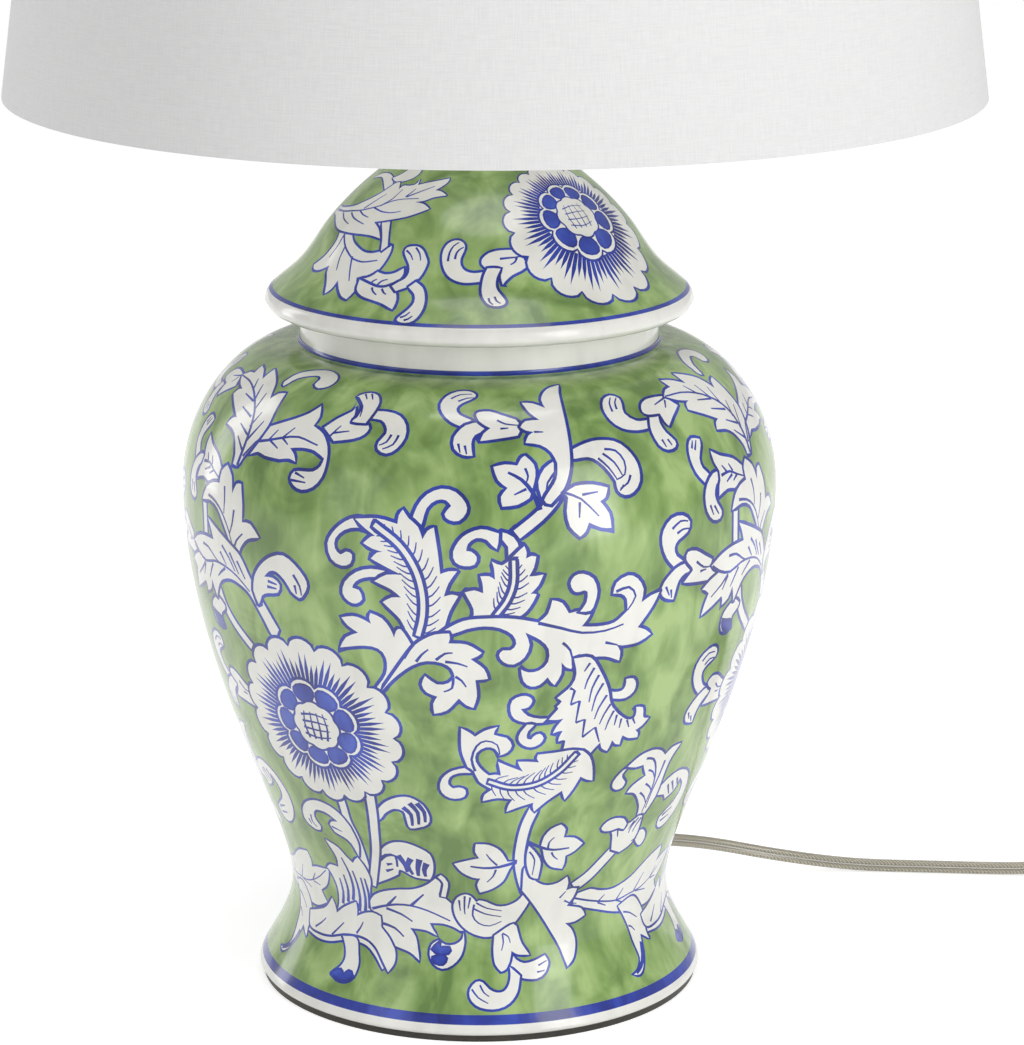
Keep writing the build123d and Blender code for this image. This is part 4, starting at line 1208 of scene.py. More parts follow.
        across = np.linspace(-half, half, self.columns() + 1)
        levels = {0.0, height} | {level for band in bands for level in band[:2]}
        for level in sorted(levels):
            chain(np.column_stack([across, np.full(len(across), level)]), False)
        up = np.linspace(0, height, int(height / self.SEAM_STEP) + 1)
        for x in (-half, half):
            chain(np.column_stack([np.full(len(up), x), up]), False)
        placed = []
        for patch in self.patches:
            for shift in (-self.pitch, 0.0, self.pitch):
                outline = patch.outline + np.array([shift, 0.0])
                low, high = outline.min(0) - patch.edge, outline.max(0) + patch.edge
                if high[0] < -half or low[0] > half:
                    continue
                placed.append((outline, patch.tint, patch.edge, low, high))
                chain(outline, True)
                if patch.edge:
                    following = np.roll(outline, -1, 0)
                    area = np.sum(
                        outline[:, 0] * following[:, 1] - following[:, 0] * outline[:, 1]
                    )
                    away = -normals_of(outline, True) * (1 if area > 0 else -1)
                    chain(outline + away * patch.edge, True)
        spacing = self.POINT_STEP
        for row in range(1, int(height / spacing)):
            y = row * spacing + self.ROW_OFFSET
            x = np.arange(-half + spacing * (0.5 + 0.5 * (row % 2)), half - 1, spacing)
            points.extend(np.column_stack([x, np.full(len(x), y)]).tolist())
        cut = delaunay_2d_cdt([Vector(p) for p in points], edges, [], 0, self.WELD)
        corners = np.array([tuple(p) for p in cut[0]])
        faces = np.array([face for face in cut[2] if len(face) == 3])
        middle = corners[faces].mean(1)
        kept = (np.abs(middle[:, 0]) < half) & (middle[:, 1] > 0) & (middle[:, 1] < height)
        faces, middle = faces[kept], middle[kept]
        tints = np.full(len(faces), Tint.GROUND.value)
        for low, high, tint in bands:
            tints[(middle[:, 1] > low) & (middle[:, 1] < high)] = tint.value
        for outline, tint, edge, low, high in placed:
            near = np.flatnonzero(((middle > low) & (middle < high)).all(1))
            if not len(near):
                continue
            within = inside(outline, middle[near])
            tints[near[within]] = tint.value
            rest = near[~within]
            if edge and len(rest):
                lined = distance(outline, middle[rest]) < edge * self.EDGE_MARGIN
                tints[rest[lined]] = Tint.COBALT.value
        return corners, faces, tints

    def columns(self) -> int:
        """Mesh columns across one repeat."""
        return max(self.LEAST_COLUMNS, round(self.pitch / self.COLUMN_STEP))


def bezier(*pulls: tuple[float, float], count: int = 60) -> np.ndarray:
    """Points on a cubic curve, without its last one."""
    a, b, c, d = (np.array(p, float) for p in pulls)
    t = (np.arange(count) / count)[:, None]
    return a * (1 - t) ** 3 + 3 * b * t * (1 - t) ** 2 + 3 * c * t**2 * (1 - t) + d * t**3


def arc(
    centre: tuple[float, float], radius: float, start: float, end: float, count: int = 8
) -> np.ndarray:
    """Points on an arc between two angles in degrees, without its last one."""
    turns = np.radians(start + (end - start) * np.arange(count) / count)
    return np.column_stack([centre[0] + radius * np.cos(turns), centre[1] + radius * np.sin(turns)])


@dataclass
class Turned:
    """A thrown and painted pot: a patterned outer face and a plain inner one, closed.

    outer and inner hold (radius, height) in millimetres, from the outer face's foot to its top
    and on round the inside.
    """

    name: str
    node: str
    outer: np.ndarray
    inner: np.ndarray
    repeats: int
    brush: Brush
    bands: tuple

    RADIAN = 100

    def build(self, materials: list[bpy.types.Material]) -> None:
        """Makes the pot, which stands for its CAD node.

        Args:
            materials: One for each tint.
        """
        points, normals, triangles, tints = self.outside()
        lining, quads = self.lining(len(points))
        everything = np.vstack([points, lining]) * MM
        polygons = [tuple(f) for f in triangles] + quads
        piece = mesh_object(self.name, everything, polygons, materials)
        slots = np.concatenate([tints, np.full(len(quads), Tint.WHITE.value)])
        piece.data.polygons.foreach_set("material_index", slots.astype(np.int32))
        self.close(piece)
        self.shade(piece, everything, normals)
        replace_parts(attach(piece, "base"), self.node)
        log.info("%s: %d triangles", self.name, len(polygons) + len(quads))

    def outside(self) -> tuple[np.ndarray, np.ndarray, np.ndarray, np.ndarray]:
        """The painted face: its points in millimetres, normals, triangles and tints."""
        profile = self.outer
        runs = np.hypot(*(np.diff(profile, axis=0).T))
        radii = (profile[1:, 0] + profile[:-1, 0]) / 2
        depth = np.concatenate([[0], np.cumsum(runs / radii)]) * self.RADIAN
        along = np.gradient(profile, axis=0)
        facing = np.column_stack([along[:, 1], -along[:, 0]])
        facing /= np.hypot(facing[:, 0], facing[:, 1])[:, None]
        corners, faces, tints = self.brush.panel(float(depth[-1]), self.bands)
        stretch = math.tau / self.repeats / self.brush.pitch
        radius, height = (np.interp(corners[:, 1], depth, profile[:, k]) for k in (0, 1))
        lean, rise = (np.interp(corners[:, 1], depth, facing[:, k]) for k in (0, 1))
        points, normals, triangles = [], [], []
        for repeat in range(self.repeats):
            turn = corners[:, 0] * stretch + math.tau * repeat / self.repeats
            across, back = np.sin(turn), -np.cos(turn)
            points.append(np.column_stack([radius * across, radius * back, height]))
            normals.append(np.column_stack([lean * across, lean * back, rise]))
            triangles.append(faces + repeat * len(corners))
        repeated = np.tile(tints, self.repeats)
        return np.vstack(points), np.vstack(normals), np.vstack(triangles), repeated

    def lining(self, start: int) -> tuple[np.ndarray, list[tuple[int, int, int, int]]]:
        """The plain face: its rings of points and their quads, numbered from start."""
        columns = self.brush.columns() * self.repeats
        turns = (np.arange(columns) / columns - 0.5 / self.repeats) * math.tau
        loop = np.vstack([self.outer[-1:], self.inner, self.outer[:1]])
        rings = [
            np.column_stack([r * np.sin(turns), -r * np.cos(turns), np.full(columns, z)])
            for r, z in loop
        ]
        quads = []
        for ring in range(len(loop) - 1):
            low, high = start + ring * columns, start + (ring + 1) * columns
            for k in range(columns):
                following = (k + 1) % columns
                quads.append((low + k, low + following, high + following, high + k))
        return np.vstack(rings), quads

    def shade(self, piece: bpy.types.Object, points: np.ndarray, normals: np.ndarray) -> None:
        """Gives the painted face its profile's normals, so its triangles don't show.

        Args:
            piece: The closed pot.
            points: Its points in metres before it was closed, the painted face first.
            normals: One for each point of the painted face.
        """
        table = {tuple(np.round(p, 6)): n for p, n in zip(points, normals)}
        plain = [v.normal.copy() for v in piece.data.vertices]
        custom = []
        for vertex in piece.data.vertices:
            found = table.get(tuple(np.round(np.array(vertex.co), 6)))
            custom.append(tuple(plain[vertex.index] if found is None else found))
        piece.data.normals_split_custom_set_from_vertices(custom)

    def close(self, piece: bpy.types.Object) -> None:
        """Joins the repeats and the inside along their shared edges."""
        shape = bmesh.new()
        shape.from_mesh(piece.data)
        bmesh.ops.remove_doubles(shape, verts=shape.verts, dist=0.00002)
        bmesh.ops.recalc_face_normals(shape, faces=shape.faces)
        shape.to_mesh(piece.data)
        shape.free()


# One repeat of the jar's scroll. Each line is a stroke, painted over the earlier ones, and an
# indented line goes on with the one above. F is an outlined form and P a blue one, written as
# sides that begin at their corners; V is tapered lines of a width, S a stem of a width, H a
# feathered rib of a reach and a count, and B a flower of a radius, with its number of lobes
# and of petals. Points are x round the pot and y up its outer face, in drawing units.
JAR_SCROLL = """
F -92,276 -90,283 -84,288 -77,290.5 -70,288.5 -66.5,284 -67.5,279.5 -71.5,277.3 -75,279 -75,282.5
  -77.5,284.8 -82,283.5 -87,280 -90,274
F 66,262 60,262.6 56.5,266.5 57.5,270.5 58,274 55,276.2 51,274.5 48.8,270 49.5,264.5 53,260.5
  59,258.8 65,259.3
F 71,263.8 69.7,260 70.5,256 73,252.3 72,250.2 68.5,249.8 65.5,252 64.5,257 65.5,261 67.5,264
V.8 67.5,253.8 68.3,250.8 | 70,253.5 71,251
V.8 52,268 52.5,272 54.5,275 | 54.3,268.8 55,272 57,274.5
F 79.5,270.8 75,271.3 69.5,271 66,269 64.7,266 66.5,264.3 72,263.8 | 72,263.8 72.3,260 73.2,258.2
  | 73.2,258.2 77,261.3 83,265.3 | 83,265.3 81,268 79.5,270.8
V.8 79,270 72,267.8 | 78.5,269 76.3,265.5
F 110,240 109.5,243.5 106,248.5 102,251 96.5,252 | 96.5,252 98,254.5 100.5,255.5 | 100.5,255.5
  94,259 87,262.5 | 87,262.5 88,265 90.5,266 | 90.5,266 85,267.5 79.5,270.5 | 79.5,270.5 83,273.5
  87,274.2 | 87,274.2 86,277 85.5,279 | 85.5,279 91,277.5 97.5,273.5 | 97.5,273.5 97,277 97,280.5
  | 97,280.5 103,277.5 108.5,273.5 112.8,266.5 | 112.8,266.5 115,269.8 118.8,271 | 118.8,271
  119.8,263 120.5,256 118,249 114.5,243 113,240
V1.2 112.5,240 113,247 112,254 109,260 104,264.5 98,268 90,270.3 80,270.5
V.9 113,245 107,249.5 | 112,251 105,254 | 109,257.5 100,260 | 104.5,263.5 95.5,265 | 98.5,267.5
  94.5,273 | 104.5,264 101.5,271.5 | 108.5,260 108.3,268.5 | 111.3,254 113.6,260.5 | 113,249
  117.3,257.5 | 114,243.5 118.3,250
F -86.5,244.8 -83,246.5 -79,245.8 -72,245.8 | -72,245.8 -68,246.7 -65,246 | -65,246 -66.5,248.5
  -69,250.3 | -69,250.3 -64,251.3 -58.5,251 -54,248.8 | -54,248.8 -54.5,246 -57,243.8 -61,243.3
  -64.3,242.8 -65.3,240.5 -63.5,238.3 -60,237.3 -56,238.8 -53.3,242.5 -52.8,248 -54,253
  -57.5,257.5 -62.8,260 | -62.8,260 -62,264 -64,268.8 | -64,268.8 -67,265 -72,261.5 -82,256.3 |
  -82,256.3 -84,250 -86.5,244.8
V1 -85.5,249.8 -80,251.3 -74,253.3 -67,254.8 -58,253
V.8 -80,251.3 -77.5,255.8 | -74,253.3 -70.3,258 | -79,251.3 -74.3,249.2 | -74,253.3 -70.5,251.3 |
  -64,242.5 -59.8,241.2 | -65,239.8 -59,239.8
F -41,266.3 -36.5,266 -34,263.5 -33.3,260.5 -35.3,257 -35,254.3 -31.8,253 -28.5,255 -26.2,259.5
  -26.8,264.5 -30,268.5 -35,270 -40.5,269.5
V.8 -31.3,260.3 -32.5,257.3 -35,255.8 | -28.6,260.3 -30,256.5 -33.5,254.5
F -58,260 -54,264.5 -49.5,268.5 -49,270.5 | -49,270.5 -48,267 -48.8,263.7 | -48.8,263.7 -45,263.8
  -42,264 -40.3,262 -41.5,259.3 -45,257.3 -52.3,255.5 | -52.3,255.5 -55,257.8 -58,260
V.8 -54.5,257 -51.5,261.8 | -53.5,258.5 -47.5,260
F -42.3,264 -40.5,270 -40.3,274.5 -42.5,278.3 -46,279.2 -49,278 -50.8,276.3 | -50.8,276.3
  -47,272.5 -46,269.5 -46.5,266 -47.8,264
V.8 -50.5,276 -46.3,271.5 -45.5,266.5 | -48,278.3 -46,275.3 | -45.3,278.8 -43.5,275.5
F 81.5,235.5 78,240 77,245 78.2,249.5 81,251.8 84.8,250.8 | 84.8,250.8 84,248.5 81.3,244.5
  81.5,241 84.5,237.5
V.8 80.5,247.5 82.8,250.8 | 79.3,248.3 81,251
F 90,238.5 86,238.3 82,235.5 80,231.5 80.3,226.8 83,223.5 86.5,223.3 87.5,225.5 85.5,228.5
  84.8,231.5 86.3,234.5 89.3,236
V.8 82,228.5 83.3,225 | 84,228 86,224.8
F 89.5,238.5 88,242 88,245.8 | 88,245.8 92,243.3 99,240.8 104,237 | 104,237 104.3,235 103.8,233.8
  | 103.8,233.8 100,232.5 96.3,231.3 | 96.3,231.3 92,232 87,230.5 | 87,230.5 88,234 89,235.5
  89.5,238.5
V.9 90,236.8 95,237.2 99,235.5 103.5,233.8 | 93.5,237.3 91.5,240 | 97,237 95.5,239.8 | 96.3,236
  92.3,234.2 | 99,235.3 96.3,233.8
S2.4 96,210 95.5,224
F -90,211.5 -95,219 -99,223.8 -104,225.5 -110.5,224.5 | -110.5,224.5 -108,229 -104,231.5
  -99.5,232.3 | -99.5,232.3 -99.5,236.5 -97,239 | -97,239 -93,236 -91,230.5 | -91,230.5 -89.5,234
  -87,234.5 | -87,234.5 -85,228 -84.7,222.3 | -84.7,222.3 -80.5,222.5 -76.5,218.8 | -76.5,218.8
  -82,217.3 -86,213.5 -88,209.5
V.9 -106,227 -101,226 -96,223 -92,217.5 -90,211.5 | -96,232 -95,228 -95,223 | -89.2,225.5 -90,221
  -91.8,217 | -90,211.5 -88,215.5 -84.5,218.5
F 66.3,210.3 62.5,214.5 60.5,219.5 61,224 64.5,227.3 69,227.5 72,225 70.8,221.8 67,219.8
  65.5,217.5 66.5,214.5 70.5,211.3
V.8 64.5,223.8 68,225.8 71.3,225.3 | 66.5,222 69,223 71.8,222.8
F 73.5,211.5 70,211.3 66.3,210.3 62,206.5 61,203 63,200.8 66.3,199.8 | 66.3,199.8 67,203 68,206
  70.5,208 74,208.6
V.8 62.8,204.8 64.5,201.5 | 65,203.5 65.5,200.5
F 83,210.3 79,212.5 75,214.8 71.3,215 70.8,212.5 73,210 | 73,210 74,208.5 72.5,207 70.2,204.8 |
  70.2,204.8 76,204 84,203.3 | 84,203.3 88,205 83,208
V.8 75.5,211 79,208.5 82.5,208 | 77.5,207.3 80.5,207.5
S2.8 101.5,196.5 104,190.5 109,184.5 117,178
F 104,190 101,192 97.5,191.5 94,189 93,185.5 94.5,182 98,180.8 101,181.5 | 101,181.5 100,184
  100.3,186.5 103.5,188.5
P 94.3,185.5 96.3,182.3 100,182 99.5,184.3 97.3,184.8
F 83,208 88,210.8 94,212.3 101.5,212.6 | 101.5,212.6 100,216 98,219.3 | 98,219.3 105,216.5
  112,213.5 117.5,210.5 122,204 127,197 133,188 | 133,188 130,184.5 126,191 121,198 116,200.5
  111,201.3 106,200 102.5,197.5 99,192 | 99,192 98,195 96.8,197.8 | 96.8,197.8 95,194 91.5,192.3 |
  91.5,192.3 91.3,194.5 90.5,195.8 | 90.5,195.8 86,193.5 80.5,191 | 80.5,191 81.5,195 83,198.5 |
  83,198.5 81,200 79.3,200.5 | 79.3,200.5 83,203 88,205 | 88,205 85.5,206.5 83,208
V1 83.5,207.7 88,205 94,203.5 101,205.2 108,205 115,203 121,199
V.9 92.5,209.3 97,209 101.5,206.5 104,205.5 | 107,212 111,208.5 114,204.5 | 105.5,209.5 109,205.5
  | 111.5,210.5 116,204 | 115.5,208.5 119.3,203 | 93,203 89.5,200 84.5,196.8 | 93,202.5 90.5,198 |
  99.5,204 97,200.5 95.3,198 | 108,204.3 104.5,202 102.5,200.3
F -81,200 -79.8,205 -76,210 -71,213.5 -66,214.8 -61.5,212.5 -58,209 -57,206 -58.5,203 -60.5,201.3
  -63.5,203 | -63.5,203 -66,206.5 -69.5,208.8 -72.5,208.3 -75,206 | -75,206 -71,206.3 -68.3,204.5
  -69.5,201.5 -74,200.5 -77,199 -79,195.5
V.9 -62.3,209 -60,205.5 -59.5,202.3 | -62,205.5 -61.5,202.5 | -73.5,204.8 -69.5,204.3 | -74,202.8
  -69.8,202.8
F 90,158 85.8,162 83.3,167 83.5,172 86.5,175.5 91,177 94.3,175.5 94.5,172.5 90.5,170.5 88,168
  88.8,164.5 91.5,161.3 95.5,160
V.8 86.5,172.5 89.5,174.8 93.5,174.5 | 88.5,170.5 91,172.3 94.5,172
F 97.5,159 94.5,160 90,158.2 86,154 84.8,150.5 86.3,147.3 90.8,146 | 90.8,146 91,149.5 92.5,153.5
  95.5,156.3 98.5,157.5
V.8 86.3,151.5 87.8,148.3 | 88.5,149.5 89.8,146.8
F 110,157.5 104,161 100,163.5 96,164 94,162 95.8,159.8 | 95.8,159.8 98,158.3 97,155.5 94.5,152.5 |
  94.5,152.5 102,152 110,152
V.8 100.5,160 103.5,157.5 107,157 | 102,156 105,155.7
F -5.5,264.5 -10.5,267 -14,271 -15.3,275.5 -13.5,280.5 -9.5,284 -4.5,284.5 -1.5,282 -2.5,279.5
  -7,276.3 -8.8,273.5 -7.5,270.3 -2,267
V.8 -11.5,279 -8,281.8 -3,282.3 | -8.5,277.5 -5,279.5 -2,279.8
F 0,267 -5,265.5 -8.8,260.5 -8.5,256 -5.5,253.7 -2.3,253.5 | -2.3,253.5 -2.8,258 -1.5,261.5
  3.5,264.3
V.8 -7.3,258 -6.5,254.5 | -5,257.3 -4.3,254
F 0,267.3 -1.2,270.3 0,271.8 4,272 8,270.3 13.5,267.8 | 13.5,267.8 15,264.5 13.5,261 | 13.5,261
  7,260 0.3,259 | 0.3,259 1.5,262 4,264.3 | 4,264.3 2,265.5 0,267.3
V.8 6.5,267.8 9.5,266 14,265.3 | 7.5,264 10.5,264.2
F 31,254 36,256 41.5,257 48,256 52,252.5 54.5,247 54,241 51,237.8 47.8,237.2 45.5,239 45.3,242 |
  45.3,242 43.5,245.5 40.5,249.3 37,251.3 31,251.2
V.8 43.5,253.5 47.5,252.5 49.8,248.5 49,244 45.5,242.5 | 42.5,252 46,248.5 48,243.8 | 40.5,250.5
  43.5,247 45.8,242.8 | 51,243.5 49.5,241 46.5,239.5 | 48,240.5 46.2,238.8
S3.2 11.5,227.3 20,234 25.5,240.5 28.5,248
F 25.3,251 21.5,248.5 19,244 19.5,240 20.5,238.5 25.5,245
V.8 25.8,248 22,243.5 21.5,240
F 26,250 24.5,254 21,257 16,258 | 16,258 17.3,260.8 19.5,262.2 | 19.5,262.2 16.5,263 14.8,264.5 |
  14.8,264.5 17,267 22.2,267.3 | 22.2,267.3 19,271 16.8,276.3 | 16.8,276.3 21,275.8 25.6,272.8 |
  25.6,272.8 25,277.5 27.5,282.5 31,285.5 35.6,287 | 35.6,287 33.5,281 32.3,273 31.6,263 31,255
  30,248 27.3,241.5 22.5,236.5 | 22.5,236.5 20.5,238 25,244.5 26,250
V.8 19.5,262.2 22.8,262
F 15.8,238.8 12,236.8 7.2,236.3 | 7.2,236.3 6.8,239.5 9,242.3 | 9,242.3 6,245 4.6,249.5 |
  4.6,249.5 8.5,250.3 12.5,249.8 | 12.5,249.8 14,252.3 15.3,253.2 | 15.3,253.2 18,250 18.2,246
  17,242 15.8,238.8
V1.5 19,234.8 17,240.5 13.5,245 9.3,247.5
V.8 15,248.8 15.8,246 15,243.8 | 15,241.8 11,240
F 27,239.5 31,241.8 37,241.8 42,240.3 | 42,240.3 40.8,237.3 38.8,236.2 | 38.8,236.2 41.5,232
  42,227.3 | 42,227.3 38.5,227.8 34.5,229.8 | 34.5,229.8 33.3,227 31.5,225.5 | 31.5,225.5 28.3,229
  27.5,234 28.3,238.3
V.8 27,240 32.5,237.5 38,231.5 | 32,236.5 31.5,231.5 | 33,238.8 38.5,239.3
F -30,227.5 -36,230.8 -41,230.3 -46,226.5 -48.8,221.5 -47.5,216.5 -44,214.8 -41,215.8 -40.3,218.8
  -42.3,219.6 -44.3,218.4 -46.2,220.3 -46,223.5 -43,226.5 -38.5,227.8 -33,226.8
F -23.5,213.8 -28,214.3 -34,214.8 -39,213.2 -43,209.5 -44,205.5 -42,203 -39.5,202.5 -37.3,204.3
  -38.3,207.3 -40.5,207.8 -39.3,210 -36.5,211.6 -32,212.3 -25.5,211.8
F -21,231.3 -19.5,236 -16.5,240 -12,242 -7.5,241 -4.3,237.5 -4,234.5 -6.3,231.8 -9.3,232
  -10.8,233.8 -8.8,236.5 | -8.8,236.5 -10.5,238.3 -13.5,238.2 -16.5,235.5 -18.3,229.5
F -21.5,190.5 -23,194 -25,198.5 -30.5,204 | -30.5,204 -27.5,205.8 -24.5,206 | -24.5,206
  -27.5,208.5 -33,210.8 | -33,210.8 -29,213.3 -24,213.6 | -24,213.6 -28.5,215.6 -34,218.2 |
  -34,218.2 -32,220.3 -30,220.7 | -30,220.7 -33.5,221.5 -36.5,223 | -36.5,223 -34,225.3
  -32.5,225.6 | -32.5,225.6 -36,227.8 -39.5,230.5 | -39.5,230.5 -32,231.3 -25.5,230 | -25.5,230
  -25.2,232.8 -24,234.7 | -24,234.7 -22,232 -19,229.5 -17.5,225.5 | -17.5,225.5 -16,228.3
  -14,229.5 | -14,229.5 -12.8,222 -12,214.5 | -12,214.5 -9.5,215.5 -6.8,215.6 | -6.8,215.6
  -9.5,211.5 -11,207 | -11,207 -8.5,207.8 -6.5,207.3 | -6.5,207.3 -9.3,202 -12,194.5 -17,193
  -21.5,190.5
H7,15 -19.5,192.5 -17.8,200 -17.8,208 -20,216 -25,223.5 -33,229
S1.5 -19.5,193 -17.8,200 -17.8,208 -20,216 -25,223.5 -33,229.3
F 11.5,218 12.3,222.5 10.5,226.5 6.5,228.3 6,227 8.8,223.5 9,219
F 6,227.8 0.5,229.2 -5,226.8 -8,222 -7.3,218.5 -4.5,217.3 -1.5,217.8 -0.8,220.3 -2.5,222 -4,222.2
  | -4,222.2 -3.5,224.5 -1,226.4 2.3,225.8 5.3,222.8
F -2,199.8 -1.8,203 -4.5,208.6 | -4.5,208.6 -1.5,209.3 1.2,208.3 | 1.2,208.3 1,211.5 0.3,214 |
  0.3,214 3,214 4.8,212.8 | 4.8,212.8 4.5,216.5 3.8,218.8 | 3.8,218.8 7,217.5 10,220 12,222
  13.8,223.6 | 13.8,223.6 14.5,221.5 14.3,219.5 | 14.3,219.5 16,220.3 17.5,220 | 17.5,220
  16.8,216.5 15.3,213.6 | 15.3,213.6 17.5,213.7 19.8,214 | 19.8,214 18.3,210.5 15.8,207.7 |
  15.8,207.7 16.8,207.8 17.8,207.5 | 17.8,207.5 15.5,203 11,199.8 -2,199.8
H6,9 5,200.5 8.5,205.5 10.5,211.5 10.5,219
S1 5,200.5 8.5,205.5 10.5,211.5 10.5,219
F -35,172 -31,178 -30.5,184 -33,187.3 -38,187.8 -46.5,186 | -46.5,186 -44,190 -39.5,192.3 |
  -39.5,192.3 -43,194.5 -45,197 | -45,197 -41,198 -38,197.5 -34.8,196 | -34.8,196 -35.3,198
  -34.8,199.8 | -34.8,199.8 -31,198.3 -28.5,195 -27.3,191.8 | -27.3,191.8 -26.5,194.3 -25,195
  -23,192 -21.5,189 | -21.5,189 -24.5,184 -28.5,177.5 -33,171
F -12,194.8 -5,198.8 3,199.7 11,199.4 18.5,197.8 | 18.5,197.8 21.5,200.5 22.8,205.2 | 22.8,205.2
  26,204 28.3,200.3 | 28.3,200.3 32,200.8 36,200.5 | 36,200.5 34.8,197.8 32.8,195.3 | 32.8,195.3
  38,194.7 44,195.3 48.5,198.8 | 48.5,198.8 48,203 46,205 43,205.5 | 43,205.5 44,209 48,211
  51.5,209.5 54,205.5 53.5,201 | 53.5,201 57,202.8 60.3,203.5 | 60.3,203.5 58,199 53,192.3 |
  53,192.3 56,191 58.5,189 | 58.5,189 54,186.8 48,186.5 45.5,187.3 | 45.5,187.3 47.3,184.5
  47.3,181 | 47.3,181 42,183.3 35,183.8 30.3,184.3 | 30.3,184.3 30.8,182 30.3,180 | 30.3,180
  28.5,180.8 26.8,182.8 | 26.8,182.8 27,178.3 25,174.3 | 25,174.3 23.8,175.5 22.5,177.5 |
  22.5,177.5 20,174.8 17,174.3 14.5,176.5 13.5,181 | 13.5,181 16,179.8 19.5,180.3 22.3,183.3
  22.3,188 19.5,191.5 14.5,194.5 | 14.5,194.5 16,190 14.5,185.5 11,183 7.8,184 6.3,186.5 7.5,188.3
  10,188.3 11.7,190.5 10.5,193.8 6.5,196.3 1.5,197 -4,196 -9,194 -12,194.8
V1 18.5,197.6 26,195.3 33,193 41,192.8 47.5,194.3
V.9 26.8,190 29.5,187 30.8,182 | 41.5,188.5 46,187 | 44,206 48.5,207 51.2,203.5 48.5,199
F 32,200.5 34,203.5 34.2,207 33,207.7 | 33,207.7 31,207.3 29.5,208 28.5,210.5 29.8,212.8
  32.5,213.3 36,211.3 37.5,207 36.8,203 35.5,200.5
F -33,171.3 -28,177 -22,182 -17,184 -12,183.5 -9,181.5 -8,178.5 | -8,178.5 -10,176 -14,175.3
  -17.8,178.3 | -17.8,178.3 -19,175 -17.5,172 -14,170.5 | -14,170.5 -15.5,167.5 -15.3,163.5 |
  -15.3,163.5 -11,165 -6.8,170 | -6.8,170 -4.5,167.5 -2,166.3 | -2,166.3 -0.8,171 -1.3,177.3 |
  -1.3,177.3 1,177.5 2.8,177.8 | 2.8,177.8 1.5,181.5 -2.8,185.2 | -2.8,185.2 -0.5,186.3 0.8,187.5
  | 0.8,187.5 -4,190.5 -9.8,190.8 | -9.8,190.8 -9.3,192.5 -9.5,194.3 | -9.5,194.3 -14,193.8
  -19,191 -22.5,187
V.9 -24.5,184.5 -22,188.5 -19.5,191.5 | -20.5,183.5 -18.5,186.3 -16.3,188.3 | -14,184.5 -11,187
  -8.5,187.3 | -11,184 -7,183.5 -3.8,182.3 | -7.8,178.5 -5.8,177 -4.3,174.5 | -8.5,178 -9,174
  -11.8,172.5
F 44.5,169.8 47,168.8 50,168.8 51.3,170.5 51.2,173.2 | 51.2,173.2 54,173 55.5,170.5 55,167.5
  52,165.5 48,166 45.8,166.8
F 26,161 21,161 16.5,162.5 14,165.5 | 14,165.5 16.5,166 17.8,168.5 16.5,170.3 14,170.7 11,169
  10.5,165 12,161.5 16,159.8 22,159.3 27,160
F 16.5,158.8 14.3,155.5 13.8,152.5 15.5,150 18.5,148.8 21.5,150 22.8,152.5 21.3,154.6 19.3,153.8
  18.3,152.3 | 18.3,152.3 16.7,153 17,156 19,158.5
F 31,183.8 32.3,178 31,173.5 26.3,169 | 26.3,169 28,167.5 26.5,165.5 | 26.5,165.5 27,164.5
  25,161.8 24,160.3 | 24,160.3 27,160 29.3,160.3 | 29.3,160.3 27,157 26,154.3 | 26,154.3 28,155
  29.5,155 | 29.5,155 28.5,152.5 28.3,150.5 | 28.3,150.5 30,151 31,150.5 | 31,150.5 30.8,148
  30.5,146 | 30.5,146 33,146.5 34,145 36.5,144 | 36.5,144 38,145 39,146 | 39,146 39.5,144 41,142.7
  | 41,142.7 43,145.5 45,147.8 | 45,147.8 46,145 48.5,143.3 | 48.5,143.3 49.3,145.5 49.8,148 |
  49.8,148 51.5,146 53.5,145.3 | 53.5,145.3 53.6,147.5 54,149.3 | 54,149.3 57,147.5 61,147 |
  61,147 60.8,149 59.3,150.5 | 59.3,150.5 62,152 64.3,154.8 | 64.3,154.8 62,155.3 61.3,157
  60.5,160 57.5,160.8 | 57.5,160.8 58,158.3 57.3,156 54,156.3 50,159.5 | 50,159.5 46.5,164
  44.5,170.5 41,177.5 36.8,183.5 31,183.8
V.9 30.5,172.5 32.3,171.5 | 32.3,171.5 31.3,165.8 | 31.3,165.8 34.5,167 | 34.5,167 34,158 | 34,158
  37.3,159 | 37.3,159 37.3,151.3 | 37.3,151.3 41.8,155 | 41.8,155 44.5,148
V.8 38.5,179.5 36.5,175 35.8,171.5 | 40.5,176.5 38.5,171.5 38,166 | 42.5,173 40.3,168 39.5,162 |
  44.5,168 42,163 41,158.5 | 46.5,164 44.5,160 43.3,156 | 48.3,161 46.8,157 46,153 | 49.8,159
  49.5,154.5 | 52,157 51.8,153 | 54.5,156 56,152.5 | 36.8,181.5 35,178.5 | 57,156 58.5,153.5
F -1.5,140.5 -5,140 -10,138.5 -14,134.5 -15,129.5 -13,126 -9.5,124.8 -5.8,126 -5.3,129.3
  -7.5,130.5 -10,130 | -10,130 -11.8,132 -11,135.5 -7.5,137.5 -1.5,138
S4 22,119 19.3,110 18,100 17.8,90 19.5,80 22.5,70
F -4.3,140.5 -6.3,148 -6.3,157.8 | -6.3,157.8 -3.5,156 -1.5,154.2 | -1.5,154.2 2,156.8 6.3,158.3 |
  6.3,158.3 5,155 9.5,153.5 11.5,150 10,147 7.3,145.7 | 7.3,145.7 5.5,148.8 2.3,149.5 -1,147
  -1.3,143 1,139 3.5,136.5 | 3.5,136.5 6,136.8 8,136.3 | 8,136.3 7.5,139.5 6.8,142.8 | 6.8,142.8
  11,140.5 16.2,137.8 | 16.2,137.8 14.8,140.3 14,142.6 | 14,142.6 18,142.3 22,141.7 | 22,141.7
